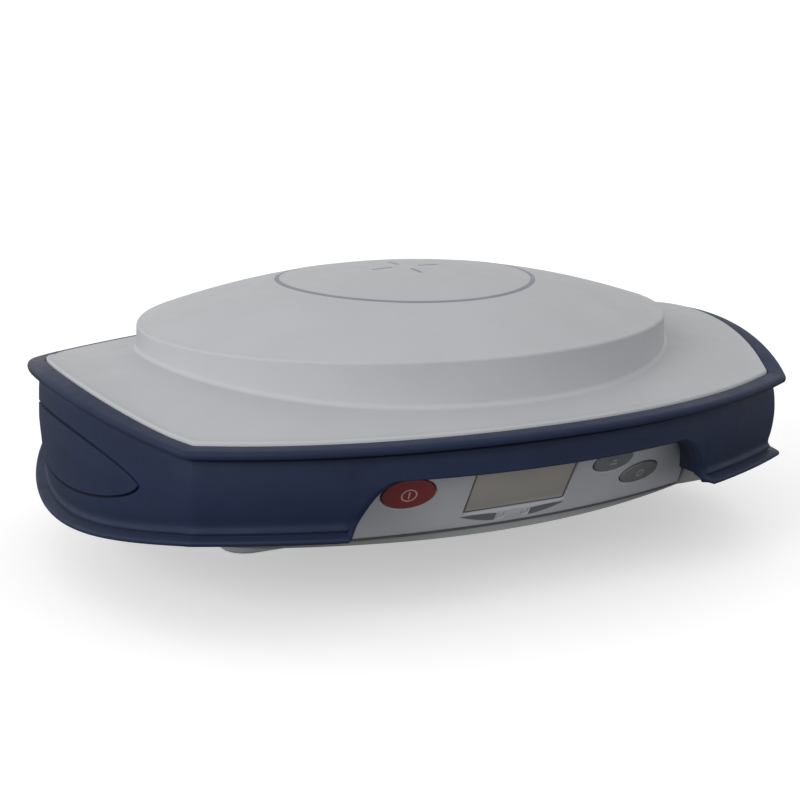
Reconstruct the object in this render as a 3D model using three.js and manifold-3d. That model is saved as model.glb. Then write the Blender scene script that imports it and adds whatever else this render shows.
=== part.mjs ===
// Satellite survey receiver: a shallow weatherproof box that screws onto a survey pole.
// Millimetres, +Z up, front towards -Y, origin at the middle of the base.
import * as THREE from 'three';
import { mergeVertices } from 'three/addons/utils/BufferGeometryUtils.js';
import Module from 'manifold-3d';

const wasm = await Module();
wasm.setup();

// ---------------------------------------------------------------- driving dimensions

const WIDTH = 228;
const DEPTH = 185;
const HEIGHT = 84;
const CURVE_STEPS = 6; // straight pieces in each curve of a flat outline
const GAP = 0.3; // clearance between neighbouring pieces
const WALL = 2.5; // moulded wall thickness

// Plan outline: long front and rear arcs meet short side arcs at four corners.
const CORNER_X = 95.9;
const CORNER_Y = 66.1;
const CORNER_EASE = 1.2; // length of arc left out on each side of a corner
const SIDE_STEPS = 5;
const FRONT_STEPS = 7;

// Heights of the three edges that run round the body, before their rise or droop.
const DECK_Z = 46.9;
const RIDGE_Z = 48.1;
const LIP_Z = 32.9;
const RISE_REACH = 115; // distance from the middle at which the side rise has died away
const DECK_SIDE_RISE = 15.1;
const DECK_FRONT_RISE = 5.4;
const RIDGE_SIDE_RISE = 12.5;
const RIDGE_FRONT_RISE = 4.3;
const LIP_SIDE_DROOP = 12.6;
const LIP_FRONT_DROOP = 3.7;

// Dome on the deck: an upright elliptical wall under a shallow crown.
const DOME_RX = 82.9;
const DOME_RY = 71.8;
const CREASE_Z = 69.9;
const CREASE_ROUND = 0.8;
const CROWN_RISE = HEIGHT - CREASE_Z;

// How deep each layer lies inside the outermost ridge.
const FLANGE_INSET = 5.4;
const DECK_INSET = FLANGE_INSET + GAP;
const BUMPER_INSIDE = 7;
const BODY_INSET = BUMPER_INSIDE + GAP;
const BODY_INSIDE = BODY_INSET + WALL;

// Joint between the radome and the lower housing, with the seal in it.
const RIM_Z = 47.4;
const SEAL_THICK = 0.6;
const SKIRT_Z = RIM_Z + SEAL_THICK + 2 * GAP;

// Underside: a bowl that falls to a flat belly, and two pods that reach the base.
const BELLY_RX = 54;
const BELLY_RY = 24;
const BELLY_Z = 8;
const BOWL_BULGE = 2.7;
const POD_X = 40;
const POD_FRONT = -2.5;
const POD_REAR = 66;
const POD_WIDTH = 40;
const POD_ROUND = 8;
const POD_DRAFT = 1.5;
const POD_TOP = 26;
const POD_Y = (POD_FRONT + POD_REAR) / 2;
const POD_LENGTH = POD_REAR - POD_FRONT;

// Battery bay in the left pod, and the door over it with its one coin screw.
const BAY_WIDTH = 32;
const BAY_FRONT = 7;
const BAY_REAR = 56;
const BAY_TOP = 22.8;
const BAY_Y = (BAY_FRONT + BAY_REAR) / 2;
const DOOR_THICK = 2.2;
const DOOR_LIFT = 0.4; // the door lies this far above the base
const DOOR_TOP = DOOR_LIFT + DOOR_THICK;
const DOOR_WIDTH = 34;
const DOOR_FRONT = 5.2;
const DOOR_REAR = 64.8;
const DOOR_Y = (DOOR_FRONT + DOOR_REAR) / 2;
const DOOR_LENGTH = DOOR_REAR - DOOR_FRONT;
const DOOR_ROUND = 3.7;
const DOOR_SCREW_Y = 60.8;
const DOOR_SCREW_R = 1.8;
const DOOR_SCREW_HEAD_R = 4;
const DOOR_SCREW_HEAD_H = 0.9;
const DOOR_SCREW_TOP = 11;
const COIN_SLOT_WIDTH = 1.4;
const DOOR_SEAL_WIDTH = 1.5;
const CONTACT_SLOT = { halfWidth: 8, front: 40, rear: 46 };
const CONTACT_HEIGHT = 5;

// Radio module under the right pod, with a plug that reaches up through the housing.
const MODULE_REAR = 55;
const MODULE_TOP = 13.7;
const MODULE_SCREWS = [[POD_X - 13, 48], [POD_X + 13, 12]];
const MODULE_SCREW_TOP = 18.5;
const PLUG_SLOT = { halfWidth: 6, front: 27, rear: 33 };
const PLUG_HEIGHT = 5;

// Screw-on sockets for the radio and modem aerials, under the rear of the body.
const AERIAL_SOCKETS = [
  { name: 'radio_aerial_socket', x: POD_X, y: 61, radius: 4.6, low: 3.5, seat: 14.3 },
  { name: 'modem_aerial_socket', x: 0, y: 50, radius: 3.4, low: 5.5, seat: 12.6 },
];
const AERIAL_TOP = 24;

// Pole mount, for the standard 5/8 inch survey thread.
const BOSS_R = 16;
const BOSS_Z = 3;
const INSERT_R = 11;
const INSERT_TOP = 19;
const THREAD_R = 7.4;

// Control panel: a plate bent round an upright axis and leaning back under the skirt.
const PANEL_RADIUS = 220;
const PANEL_EDGE_Y = -64.5;
const PANEL_EDGE_Z = 20.3;
const PANEL_LEAN = THREE.MathUtils.degToRad(30.2);
const PANEL_HEIGHT = 25;
const PANEL_THICK = 2;
const PANEL_STEP = THREE.MathUtils.degToRad(2.5);
const PANEL_STEPS_EACH_WAY = 8;
const PANEL_GROOVE = 0.8;
const PANEL_BACK = -PANEL_THICK - GAP;
const PANEL_WALL_BACK = PANEL_BACK - 2.2;
const RECESS_TOP = 43.8;

// Opening in the bumper, as seen from the front: a foot, a shoulder, and a curve to the top.
const OPENING_FOOT_X = 58.5;
const OPENING_SHOULDER_X = 57.5;
const OPENING_SHOULDER_Z = 28.8;
const OPENING_CURVE_X = 50.6; // where the curve's two ends would meet
const OPENING_TOP_X = 44;
const OPENING_TOP_Z = 43.3;
const POCKET_GROW = 8; // the pocket behind the opening is this much wider on each side

// Leaf-shaped inserts in the side walls of the bumper.
const LEAF_REACH = 47;
const LEAF_Z = 40.4;
const LEAF_UP = 8.9;
const LEAF_DOWN = 9.3;
const LEAF_UP_CURVE = 1.5;
const LEAF_DOWN_CURVE = 1.36;
const LEAF_STEPS = 14;
const INSERT_THICK = 1.5;

// Screws that hold the two housings together.
const POST_R = 3.6;
const POST_SPLIT_Z = 36;
const SCREW_R = 1.5;
const SCREW_HOLE_R = SCREW_R + GAP;
const SCREW_HEAD_R = 2.8;
const SCREW_HEAD_H = 1.8;
const HOUSING_SCREWS = [[84, 52], [-84, 52], [84, -52], [-84, -52], [98, 0], [-98, 0]];

// Electronics.
const BOARD_Z = 30;
const BOARD_THICK = 1.6;
const BOARD_X = 60;
const BOARD_FRONT = -42;
const BOARD_REAR = 62;
const BOARD_SCREWS = [[54, -36], [-54, -36], [54, 56], [-54, 56]];
const BOARD_POST_R = 3;
const SHIELD = { halfWidth: 24, front: -26, rear: 8 };
const SHIELD_HEIGHT = 5;
const BEEPER_X = 42;
const BEEPER_Y = -22;
const BEEPER_R = 6;
const BEEPER_HEIGHT = 4;

// Antenna: a ground plane on three pillars, with two ceramic patches and a feed pin.
const PLANE_Z = 57;
const PLANE_R = 62;
const PLANE_THICK = 1.5;
const PILLARS = [[0, -36], [-31, 18], [31, 18]];
const PILLAR_R = 2.6;
const PATCH_R = 33;
const PATCH_HEIGHT = 7;
const UPPER_PATCH_R = 22;
const UPPER_PATCH_HEIGHT = 3.7;
const FEED_Y = -12;
const FEED_R = 1.6;

// Round sockets along the rear of the underside, each with a rubber cap on a strap.
const SOCKET_NAMES = ['power', 'serial', 'usb'];
const SOCKET_PLACES = [-24, 0, 24];
const SOCKET_Y = 76.5;
const SOCKET_R = 6;
const SOCKET_WALL = 1.2;
const SOCKET_MOUTH_Z = 20;
const SOCKET_TOP_Z = 36;
const SOCKET_FLOOR_Z = 29;
const CAP_THICK = 2;
const CAP_HINGE_Y = 68.5;
const CAP_HINGE_Z = 18.9;
const CAP_OVERLAP = 0.6;
const STRAP_HALF_WIDTH = 2.5;

// Bodies of the three push buttons, as places and half sizes on the panel.
const BUTTONS = [
  { name: 'power_button', x: -33.6, up: 17, rx: 7.6, ry: 5.4 },
  { name: 'scroll_button', x: 28.6, up: 18.6, rx: 7, ry: 3.9 },
  { name: 'log_button', x: 42, up: 11.1, rx: 7.3, ry: 3.9 },
];
const BUTTON_PROUD = 0.5;
const BUTTON_BACK = -3.3;

// Display window with its module and board behind it, and two light pipes below it.
const DISPLAY_WIDTH = 31.4;
const DISPLAY_HEIGHT = 17;
const DISPLAY_LOW = 6.3;
const DISPLAY_UP = DISPLAY_LOW + DISPLAY_HEIGHT / 2;
const DISPLAY_MODULE = { width: 35, height: 20, back: -9, front: -6 };
const DISPLAY_BOARD = { width: 44, height: 22, back: -10.9, front: -9.3 };
const LIGHT_X = 3.9;
const LIGHT_UP = 3.8;
const LIGHT_SIZE = 2.2;
const LIGHT_BACK = -5.7;

// ---------------------------------------------------------------- materials

function paint(color, roughness, metalness = 0) {
  return new THREE.MeshStandardMaterial({ color, roughness, metalness });
}

const LOOK = {
  white: paint(0xb4b6b8, 0.6),
  rubber: paint(0x30364a, 0.75),
  grey: paint(0x767a7c, 0.6),
  panel: paint(0x72757a, 0.5),
  red: paint(0x8a3030, 0.45),
  button: paint(0x5c5d61, 0.5),
  clear: paint(0x6e6c6a, 0.15),
  dark: paint(0x1c1d20, 0.6),
  light: paint(0xa8aaac, 0.3),
  seal: paint(0x141416, 0.8),
  board: paint(0x1f5a34, 0.5),
  ceramic: paint(0xd8d4c6, 0.4),
  aluminium: paint(0xb0b2b5, 0.35, 1),
  brass: paint(0xb08d4a, 0.35, 1),
  steel: paint(0x8f9296, 0.3, 1),
};

// ---------------------------------------------------------------- solid helpers

function closedGeometry(positions, index) {
  const geometry = new THREE.BufferGeometry();
  geometry.setAttribute('position', new THREE.Float32BufferAttribute(positions, 3));
  geometry.setIndex(index);
  return geometry;
}

function signedVolume(geometry) {
  const place = geometry.attributes.position;
  const index = geometry.index.array;
  const corner = [new THREE.Vector3(), new THREE.Vector3(), new THREE.Vector3()];
  let total = 0;
  for (let i = 0; i < index.length; i += 3) {
    corner.forEach((point, k) => point.fromBufferAttribute(place, index[i + k]));
    total += corner[0].dot(corner[1].clone().cross(corner[2])) / 6;
  }
  return total;
}

// Turns a closed three.js geometry into a solid, with its faces pointing out.
function solid(source) {
  const bare = new THREE.BufferGeometry();
  bare.setAttribute('position', source.attributes.position);
  if (source.index) bare.setIndex(source.index);
  const geometry = mergeVertices(bare, 1e-4);
  const index = Array.from(geometry.index.array);
  if (signedVolume(geometry) < 0) index.reverse();
  const mesh = new wasm.Mesh({
    numProp: 3,
    vertProperties: new Float32Array(geometry.attributes.position.array),
    triVerts: new Uint32Array(index),
  });
  return new wasm.Manifold(mesh);
}

function toGeometry(shape) {
  const mesh = shape.getMesh();
  const geometry = closedGeometry(Array.from(mesh.vertProperties), Array.from(mesh.triVerts));
  geometry.computeVertexNormals();
  return geometry;
}

function join(first, ...others) {
  return others.reduce((whole, part) => whole.add(part), first);
}

function cut(base, ...tools) {
  return tools.reduce((left, tool) => left.subtract(tool), base);
}

function named(name, shape, material) {
  const mesh = new THREE.Mesh(toGeometry(shape), material);
  mesh.name = name;
  return mesh;
}

// A closed solid from a stack of rings with equal point counts. With tips the two ends close on
// a point each; without them the last ring joins back to the first.
function stack(rings, tips) {
  const count = rings[0].length;
  const positions = rings.flat().flatMap((point) => point.toArray());
  const index = [];
  const last = tips ? rings.length - 1 : rings.length;
  for (let i = 0; i < last; i += 1) {
    const here = i * count;
    const next = ((i + 1) % rings.length) * count;
    for (let j = 0; j < count; j += 1) {
      const k = (j + 1) % count;
      index.push(here + j, here + k, next + k);
      index.push(here + j, next + k, next + j);
    }
  }
  if (tips) {
    const startTip = positions.length / 3;
    positions.push(...tips[0].toArray(), ...tips[1].toArray());
    const endRing = (rings.length - 1) * count;
    for (let j = 0; j < count; j += 1) {
      const k = (j + 1) % count;
      index.push(startTip, k, j);
      index.push(startTip + 1, endRing + j, endRing + k);
    }
  }
  return solid(closedGeometry(positions, index));
}

function middle(ring) {
  const sum = ring.reduce((total, point) => total.add(point), new THREE.Vector3());
  return sum.divideScalar(ring.length);
}

function cappedStack(rings) {
  return stack(rings, [middle(rings[0]), middle(rings[rings.length - 1])]);
}

function box(x0, x1, y0, y1, z0, z1) {
  const geometry = new THREE.BoxGeometry(x1 - x0, y1 - y0, z1 - z0);
  geometry.translate((x0 + x1) / 2, (y0 + y1) / 2, (z0 + z1) / 2);
  return solid(geometry);
}

function post(x, y, z0, z1, radius, sides = 12) {
  const geometry = new THREE.CylinderGeometry(radius, radius, z1 - z0, sides);
  geometry.rotateX(Math.PI / 2);
  geometry.translate(x, y, (z0 + z1) / 2);
  return solid(geometry);
}

function roundedRectRing(x, y, width, length, round, z) {
  const ring = [];
  const steps = 3;
  for (let quarter = 0; quarter < 4; quarter += 1) {
    const signX = quarter === 0 || quarter === 3 ? 1 : -1;
    const signY = quarter < 2 ? 1 : -1;
    for (let i = 0; i <= steps; i += 1) {
      const angle = (Math.PI / 2) * (quarter + i / steps);
      ring.push(new THREE.Vector3(
        x + signX * (width / 2 - round) + round * Math.cos(angle),
        y + signY * (length / 2 - round) + round * Math.sin(angle),
        z,
      ));
    }
  }
  return ring;
}

function roundedBlock(x, y, width, length, round, z0, z1, spread = 0) {
  return cappedStack([
    roundedRectRing(x, y, width, length, round, z0),
    roundedRectRing(x, y, width + 2 * spread, length + 2 * spread, round, z1),
  ]);
}

function ovalShape(rx, ry) {
  const shape = new THREE.Shape();
  shape.absellipse(0, 0, rx, ry, 0, 2 * Math.PI);
  return shape;
}

function rectShape(width, height) {
  const shape = new THREE.Shape();
  shape.moveTo(-width / 2, -height / 2);
  shape.lineTo(width / 2, -height / 2);
  shape.lineTo(width / 2, height / 2);
  shape.lineTo(-width / 2, height / 2);
  shape.closePath();
  return shape;
}

function prism(shape, low, high) {
  const options = { depth: high - low, bevelEnabled: false, curveSegments: CURVE_STEPS };
  const geometry = new THREE.ExtrudeGeometry(shape, options);
  geometry.translate(0, 0, low);
  return geometry;
}

// ---------------------------------------------------------------- plan outline and edge heights

function arcRadius(halfChord, sagitta) {
  return (halfChord ** 2 + sagitta ** 2) / (2 * sagitta);
}

const FRONT_RADIUS = arcRadius(CORNER_X, DEPTH / 2 - CORNER_Y);
const SIDE_RADIUS = arcRadius(CORNER_Y, WIDTH / 2 - CORNER_X);
const FRONT_CENTRE = FRONT_RADIUS - DEPTH / 2;
const SIDE_CENTRE = SIDE_RADIUS - WIDTH / 2;

// Where the side arc and the rear arc cross, in the quarter with x and y positive.
function planCorner(inset) {
  const sideRadius = SIDE_RADIUS - inset;
  const frontRadius = FRONT_RADIUS - inset;
  const span = Math.hypot(SIDE_CENTRE, FRONT_CENTRE);
  const along = (sideRadius ** 2 - frontRadius ** 2 + span ** 2) / (2 * span);
  const across = Math.sqrt(sideRadius ** 2 - along ** 2);
  return new THREE.Vector2(
    (along * SIDE_CENTRE + across * FRONT_CENTRE) / span - SIDE_CENTRE,
    (across * SIDE_CENTRE - along * FRONT_CENTRE) / span,
  );
}

function planQuarter(inset) {
  const corner = planCorner(inset);
  const sideRadius = SIDE_RADIUS - inset;
  const frontRadius = FRONT_RADIUS - inset;
  const sideEnd = Math.atan2(corner.y, corner.x + SIDE_CENTRE) - CORNER_EASE / sideRadius;
  const frontStart = Math.atan2(corner.y + FRONT_CENTRE, corner.x) + CORNER_EASE / frontRadius;
  const points = [];
  for (let i = 0; i <= SIDE_STEPS; i += 1) {
    const angle = (sideEnd * i) / SIDE_STEPS;
    const x = sideRadius * Math.cos(angle) - SIDE_CENTRE;
    points.push(new THREE.Vector2(x, sideRadius * Math.sin(angle)));
  }
  for (let i = 0; i <= FRONT_STEPS; i += 1) {
    const angle = frontStart + ((Math.PI / 2 - frontStart) * i) / FRONT_STEPS;
    const y = frontRadius * Math.sin(angle) - FRONT_CENTRE;
    points.push(new THREE.Vector2(frontRadius * Math.cos(angle), y));
  }
  return points;
}

// The whole outline, anticlockwise from the middle of the right side.
function planRing(inset) {
  const quarter = planQuarter(inset);
  const mirrored = (signX, signY, reverse) => {
    const points = quarter.map((p) => new THREE.Vector2(signX * p.x, signY * p.y));
    if (reverse) points.reverse();
    return points.slice(0, -1);
  };
  return [
    ...mirrored(1, 1, false),
    ...mirrored(-1, 1, true),
    ...mirrored(-1, -1, false),
    ...mirrored(1, -1, true),
  ];
}

function sideShare(y) {
  return Math.cos((Math.PI / 2) * Math.min(1, Math.abs(y) / RISE_REACH)) ** 2;
}

function frontShare(x) {
  return Math.max(0, 1 - (x / CORNER_X) ** 2);
}

function deckZ(x, y) {
  return DECK_Z + DECK_SIDE_RISE * sideShare(y) + DECK_FRONT_RISE * frontShare(x);
}

function ridgeZ(x, y) {
  return RIDGE_Z + RIDGE_SIDE_RISE * sideShare(y) + RIDGE_FRONT_RISE * frontShare(x);
}

function lipZ(x, y) {
  return LIP_Z - LIP_SIDE_DROOP * sideShare(y) - LIP_FRONT_DROOP * frontShare(x);
}

function wallMiddleZ(x, y) {
  return (ridgeZ(x, y) + lipZ(x, y)) / 2;
}

function bodyRing(inset, level, up = 0) {
  return planRing(inset).map((p) => new THREE.Vector3(p.x, p.y, level(p.x, p.y) + up));
}

function flatLevel(z) {
  return () => z;
}

// An ellipse whose points lie in the same directions as those of the outline.
function ovalRing(rx, ry, level, up = 0) {
  return planRing(0).map((p) => {
    const angle = Math.atan2(p.y, p.x);
    const reach = 1 / Math.hypot(Math.cos(angle) / rx, Math.sin(angle) / ry);
    const x = reach * Math.cos(angle);
    const y = reach * Math.sin(angle);
    return new THREE.Vector3(x, y, level(x, y) + up);
  });
}

// ---------------------------------------------------------------- radome

// The upper face of the cover, or its lower face when it is lowered by a wall thickness.
function coverRings(lowered, edgeInset) {
  const rx = DOME_RX - lowered;
  const ry = DOME_RY - lowered;
  const rings = [];
  for (const share of [0.35, 0.65, 0.87, 0.985]) {
    const z = CREASE_Z + CROWN_RISE * (1 - share ** 2) - lowered;
    rings.push(ovalRing(share * rx, share * ry, flatLevel(z)));
  }
  rings.push(ovalRing(rx, ry, flatLevel(CREASE_Z - CREASE_ROUND - lowered)));
  for (const [spread, up] of [[0.3, 3.6], [1.2, 1.1], [3.4, 0]]) {
    rings.push(ovalRing(rx + spread, ry + spread, deckZ, up - lowered));
  }
  const foot = rings[rings.length - 1];
  const edge = planRing(edgeInset);
  for (const share of [0.5, 1]) {
    rings.push(foot.map((point, i) => {
      const x = THREE.MathUtils.lerp(point.x, edge[i].x, share);
      const y = THREE.MathUtils.lerp(point.y, edge[i].y, share);
      return new THREE.Vector3(x, y, deckZ(x, y) - lowered);
    }));
  }
  return rings;
}

function radome() {
  const rings = [
    ...coverRings(0, DECK_INSET),
    bodyRing(DECK_INSET, deckZ, -WALL),
    bodyRing(BODY_INSET, deckZ, -WALL),
    bodyRing(BODY_INSET, flatLevel(SKIRT_Z)),
    bodyRing(BODY_INSIDE, flatLevel(SKIRT_Z)),
    ...coverRings(WALL, BODY_INSIDE).reverse(),
  ];
  const tips = [new THREE.Vector3(0, 0, HEIGHT), new THREE.Vector3(0, 0, HEIGHT - WALL)];
  let cover = stack(rings, tips);
  for (const [x, y] of HOUSING_SCREWS) {
    cover = cover.add(post(x, y, POST_SPLIT_Z, deckZ(x, y) - WALL / 2, POST_R));
  }
  for (const [x, y] of HOUSING_SCREWS) {
    cover = cover.subtract(post(x, y, POST_SPLIT_Z - 1, POST_SPLIT_Z + 9, SCREW_HOLE_R, 10));
  }
  return named('radome', cover, LOOK.white);
}

function housingSeal() {
  const low = RIM_Z + GAP;
  const rings = [
    bodyRing(BODY_INSET + GAP, flatLevel(low)),
    bodyRing(BODY_INSET + GAP, flatLevel(low + SEAL_THICK)),
    bodyRing(BODY_INSIDE - GAP, flatLevel(low + SEAL_THICK)),
    bodyRing(BODY_INSIDE - GAP, flatLevel(low)),
  ];
  return named('housing_seal', stack(rings), LOOK.seal);
}

// ---------------------------------------------------------------- bumper and its side inserts

const WALL_SECTION = [
  { inset: 3.9, level: ridgeZ, up: -3 },
  { inset: 3.1, level: ridgeZ, up: -6 },
  { inset: 2.7, level: wallMiddleZ, up: 1 },
  { inset: 3.4, level: lipZ, up: 8 },
  { inset: 4.6, level: lipZ, up: 4.2 },
];

const BUMPER_SECTION = [
  { inset: FLANGE_INSET, level: deckZ, up: 0.15 },
  { inset: 0.5, level: ridgeZ, up: 0.35 },
  { inset: 0, level: ridgeZ, up: -0.6 },
  { inset: 0.4, level: ridgeZ, up: -1.8 },
  ...WALL_SECTION,
  { inset: 3.3, level: lipZ, up: 3.2 },
  { inset: 3.5, level: lipZ, up: 2.3 },
  { inset: 1.3, level: lipZ, up: 1.4 },
  { inset: 0.9, level: lipZ, up: 0.6 },
  { inset: 1.6, level: lipZ, up: 0 },
  { inset: BUMPER_INSIDE, level: lipZ, up: 0 },
  { inset: BUMPER_INSIDE, level: deckZ, up: -WALL - GAP },
  { inset: FLANGE_INSET, level: deckZ, up: -WALL - GAP },
];

// The opening over the control panel: x across, z up, grown sideways for the pocket behind it.
function openingShape(grow, top, bottom) {
  const shape = new THREE.Shape();
  const foot = OPENING_FOOT_X + grow;
  const shoulder = OPENING_SHOULDER_X + grow;
  const curve = OPENING_CURVE_X + grow;
  const flat = OPENING_TOP_X + grow;
  shape.moveTo(-foot, bottom);
  shape.lineTo(foot, bottom);
  shape.lineTo(shoulder, OPENING_SHOULDER_Z);
  shape.quadraticCurveTo(curve, top, flat, top);
  shape.lineTo(-flat, top);
  shape.quadraticCurveTo(-curve, top, -shoulder, OPENING_SHOULDER_Z);
  shape.closePath();
  return shape;
}

function openingPrism(grow, top, bottom, nearY, farY) {
  const geometry = prism(openingShape(grow, top, bottom), nearY, farY);
  geometry.rotateX(Math.PI / 2);
  return solid(geometry);
}

// Leaf-shaped outline of a side insert: y along, z up, once round from its rear tip.
function leafShape(grow) {
  const points = [];
  for (let i = 0; i < 2 * LEAF_STEPS; i += 1) {
    const angle = (Math.PI * i) / LEAF_STEPS;
    const lift = Math.sin(angle);
    const z = lift > 0
      ? LEAF_Z + (LEAF_UP + grow) * lift ** LEAF_UP_CURVE
      : LEAF_Z - (LEAF_DOWN + grow) * (-lift) ** LEAF_DOWN_CURVE;
    points.push(new THREE.Vector2((LEAF_REACH + grow) * Math.cos(angle), z));
  }
  return new THREE.Shape(points);
}

function leafPrism(grow) {
  const geometry = prism(leafShape(grow), WIDTH / 2 - 24, WIDTH / 2 + 16);
  geometry.rotateX(Math.PI / 2);
  geometry.rotateZ(Math.PI / 2);
  return solid(geometry);
}

// A band that follows the bumper's outer wall between two depths.
function wallBand(depthOut, depthIn) {
  const ring = (depth) => ({ inset, level, up }) => bodyRing(inset + depth, level, up);
  const outer = WALL_SECTION.map(ring(depthOut));
  const inner = WALL_SECTION.map(ring(depthIn)).reverse();
  return stack([...outer, ...inner]);
}

function mirrorX(shape) {
  return shape.mirror([1, 0, 0]);
}

function bumperPieces() {
  const rings = BUMPER_SECTION.map(({ inset, level, up }) => bodyRing(inset, level, up));
  const opening = openingPrism(0, OPENING_TOP_Z, 0, 60, 120);
  const insert = wallBand(0, INSERT_THICK).intersect(leafPrism(0));
  const pocket = wallBand(-INSERT_THICK, INSERT_THICK + GAP).intersect(leafPrism(GAP));
  const bumper = cut(stack(rings), opening, pocket, mirrorX(pocket));
  return [
    named('bumper', bumper, LOOK.rubber),
    named('side_insert_right', insert, LOOK.rubber),
    named('side_insert_left', mirrorX(insert), LOOK.rubber),
  ];
}

// ---------------------------------------------------------------- control panel frame

const PANEL_CENTRE_Y = PANEL_EDGE_Y + PANEL_RADIUS;

// A point of the bent panel: x along the arc, up the slope, out along the outward normal.
function panelPoint(x, up, out) {
  const angle = x / PANEL_RADIUS;
  const reach = PANEL_RADIUS + up * Math.sin(PANEL_LEAN) + out * Math.cos(PANEL_LEAN);
  return new THREE.Vector3(
    reach * Math.sin(angle),
    PANEL_CENTRE_Y - reach * Math.cos(angle),
    PANEL_EDGE_Z + up * Math.cos(PANEL_LEAN) - out * Math.sin(PANEL_LEAN),
  );
}

function panelFrame(x, up) {
  const angle = x / PANEL_RADIUS;
  const radial = new THREE.Vector3(Math.sin(angle), -Math.cos(angle), 0);
  const along = new THREE.Vector3(Math.cos(angle), Math.sin(angle), 0);
  const slope = radial.clone().multiplyScalar(Math.sin(PANEL_LEAN));
  slope.z = Math.cos(PANEL_LEAN);
  const normal = radial.clone().multiplyScalar(Math.cos(PANEL_LEAN));
  normal.z = -Math.sin(PANEL_LEAN);
  return new THREE.Matrix4().makeBasis(along, slope, normal).setPosition(panelPoint(x, up, 0));
}

function onPanel(geometry, x, up) {
  return solid(geometry.clone().applyMatrix4(panelFrame(x, up)));
}

// A slab bent like the panel, between two heights on the slope and two depths.
function panelSlab(low, high, back, front) {
  const rings = [];
  for (let i = -PANEL_STEPS_EACH_WAY; i <= PANEL_STEPS_EACH_WAY; i += 1) {
    const x = i * PANEL_STEP * PANEL_RADIUS;
    rings.push([
      panelPoint(x, low, back),
      panelPoint(x, low, front),
      panelPoint(x, high, front),
      panelPoint(x, high, back),
    ]);
  }
  return cappedStack(rings);
}

function buttonPrism({ x, up, rx, ry }, grow, back, front) {
  return onPanel(prism(ovalShape(rx + grow, ry + grow), back, front), x, up);
}

function displayPrism(grow, back, front) {
  const shape = rectShape(DISPLAY_WIDTH + 2 * grow, DISPLAY_HEIGHT + 2 * grow);
  return onPanel(prism(shape, back, front), 0, DISPLAY_UP);
}

// A flat plate behind the display.
function displayPlate({ width, height, back, front }) {
  return onPanel(prism(rectShape(width, height), back, front), 0, DISPLAY_UP);
}

function lightPrism(side, grow, back, front) {
  const size = LIGHT_SIZE + 2 * grow;
  return onPanel(prism(rectShape(size, size), back, front), side * LIGHT_X, LIGHT_UP);
}

function panelPieces() {
  const outline = openingPrism(POCKET_GROW - 1, RECESS_TOP - 0.5, 0, 30, 120);
  let plate = panelSlab(0, PANEL_HEIGHT, -PANEL_THICK, 0).intersect(outline);
  let membrane = panelSlab(0.5, PANEL_HEIGHT - 1, PANEL_WALL_BACK - 1.2, PANEL_WALL_BACK - GAP);
  membrane = membrane.intersect(openingPrism(0, RECESS_TOP - 2, 0, 30, 120));
  membrane = membrane.subtract(displayPrism(3, -20, 0));
  const pieces = [];
  for (const button of BUTTONS) {
    plate = plate.subtract(buttonPrism(button, GAP, -5, 5));
    const cap = buttonPrism(button, 0, BUTTON_BACK, BUTTON_PROUD);
    pieces.push(named(button.name, cap, button.name === 'power_button' ? LOOK.red : LOOK.button));
  }
  plate = plate.subtract(displayPrism(GAP, -5, 5));
  for (const side of [-1, 1]) {
    plate = plate.subtract(lightPrism(side, GAP, -5, 5));
    membrane = membrane.subtract(lightPrism(side, GAP, -20, 5));
    const name = side < 0 ? 'status_light_left' : 'status_light_right';
    pieces.push(named(name, lightPrism(side, 0, LIGHT_BACK, -0.1), LOOK.light));
  }
  pieces.push(
    named('front_panel', plate, LOOK.panel),
    named('display_window', displayPrism(0, -1.6, -0.4), LOOK.clear),
    named('display_module', displayPlate(DISPLAY_MODULE), LOOK.dark),
    named('display_board', displayPlate(DISPLAY_BOARD), LOOK.board),
    named('keypad_membrane', membrane, LOOK.dark),
  );
  return pieces;
}

// ---------------------------------------------------------------- lower housing

function bowlRing(share, inset, raised) {
  const edge = bodyRing(inset, lipZ);
  const belly = ovalRing(BELLY_RX - raised, BELLY_RY - raised, flatLevel(BELLY_Z));
  return edge.map((point, i) => {
    const mixed = point.clone().lerp(belly[i], share);
    mixed.z += raised - BOWL_BULGE * Math.sin(Math.PI * share);
    return mixed;
  });
}

function bowlStack(inset, raised, top) {
  const rings = [1, 0.75, 0.5, 0.25, 0].map((share) => bowlRing(share, inset, raised));
  rings.push(bodyRing(inset, flatLevel(top)));
  return cappedStack(rings);
}

function podBlock(x, grow, z0, z1) {
  const spread = (z) => (POD_DRAFT * z) / POD_TOP + grow;
  const ring = (z) => roundedRectRing(
    x, POD_Y, POD_WIDTH + 2 * spread(z), POD_LENGTH + 2 * spread(z), POD_ROUND, z,
  );
  return cappedStack([ring(z0), ring(z1)]);
}

// A box that fills a slot in the housing, or that is smaller than it all round.
function slotBox(x, { halfWidth, front, rear }, smaller, z0, z1) {
  const half = halfWidth - smaller;
  return box(x - half, x + half, front + smaller, rear - smaller, z0, z1);
}

function bayBlock(z0, z1) {
  return box(-POD_X - BAY_WIDTH / 2, -POD_X + BAY_WIDTH / 2, BAY_FRONT, BAY_REAR, z0, z1);
}

function doorBlock(grow, z0, z1) {
  const width = DOOR_WIDTH + 2 * grow;
  const length = DOOR_LENGTH + 2 * grow;
  return roundedBlock(-POD_X, DOOR_Y, width, length, DOOR_ROUND + grow, z0, z1);
}

function moduleBlock(grow, z0, z1) {
  const y = (POD_FRONT + MODULE_REAR) / 2;
  const length = MODULE_REAR - POD_FRONT + 2 * grow;
  return roundedBlock(POD_X, y, POD_WIDTH + 2 * grow, length, POD_ROUND, z0, z1);
}

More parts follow.
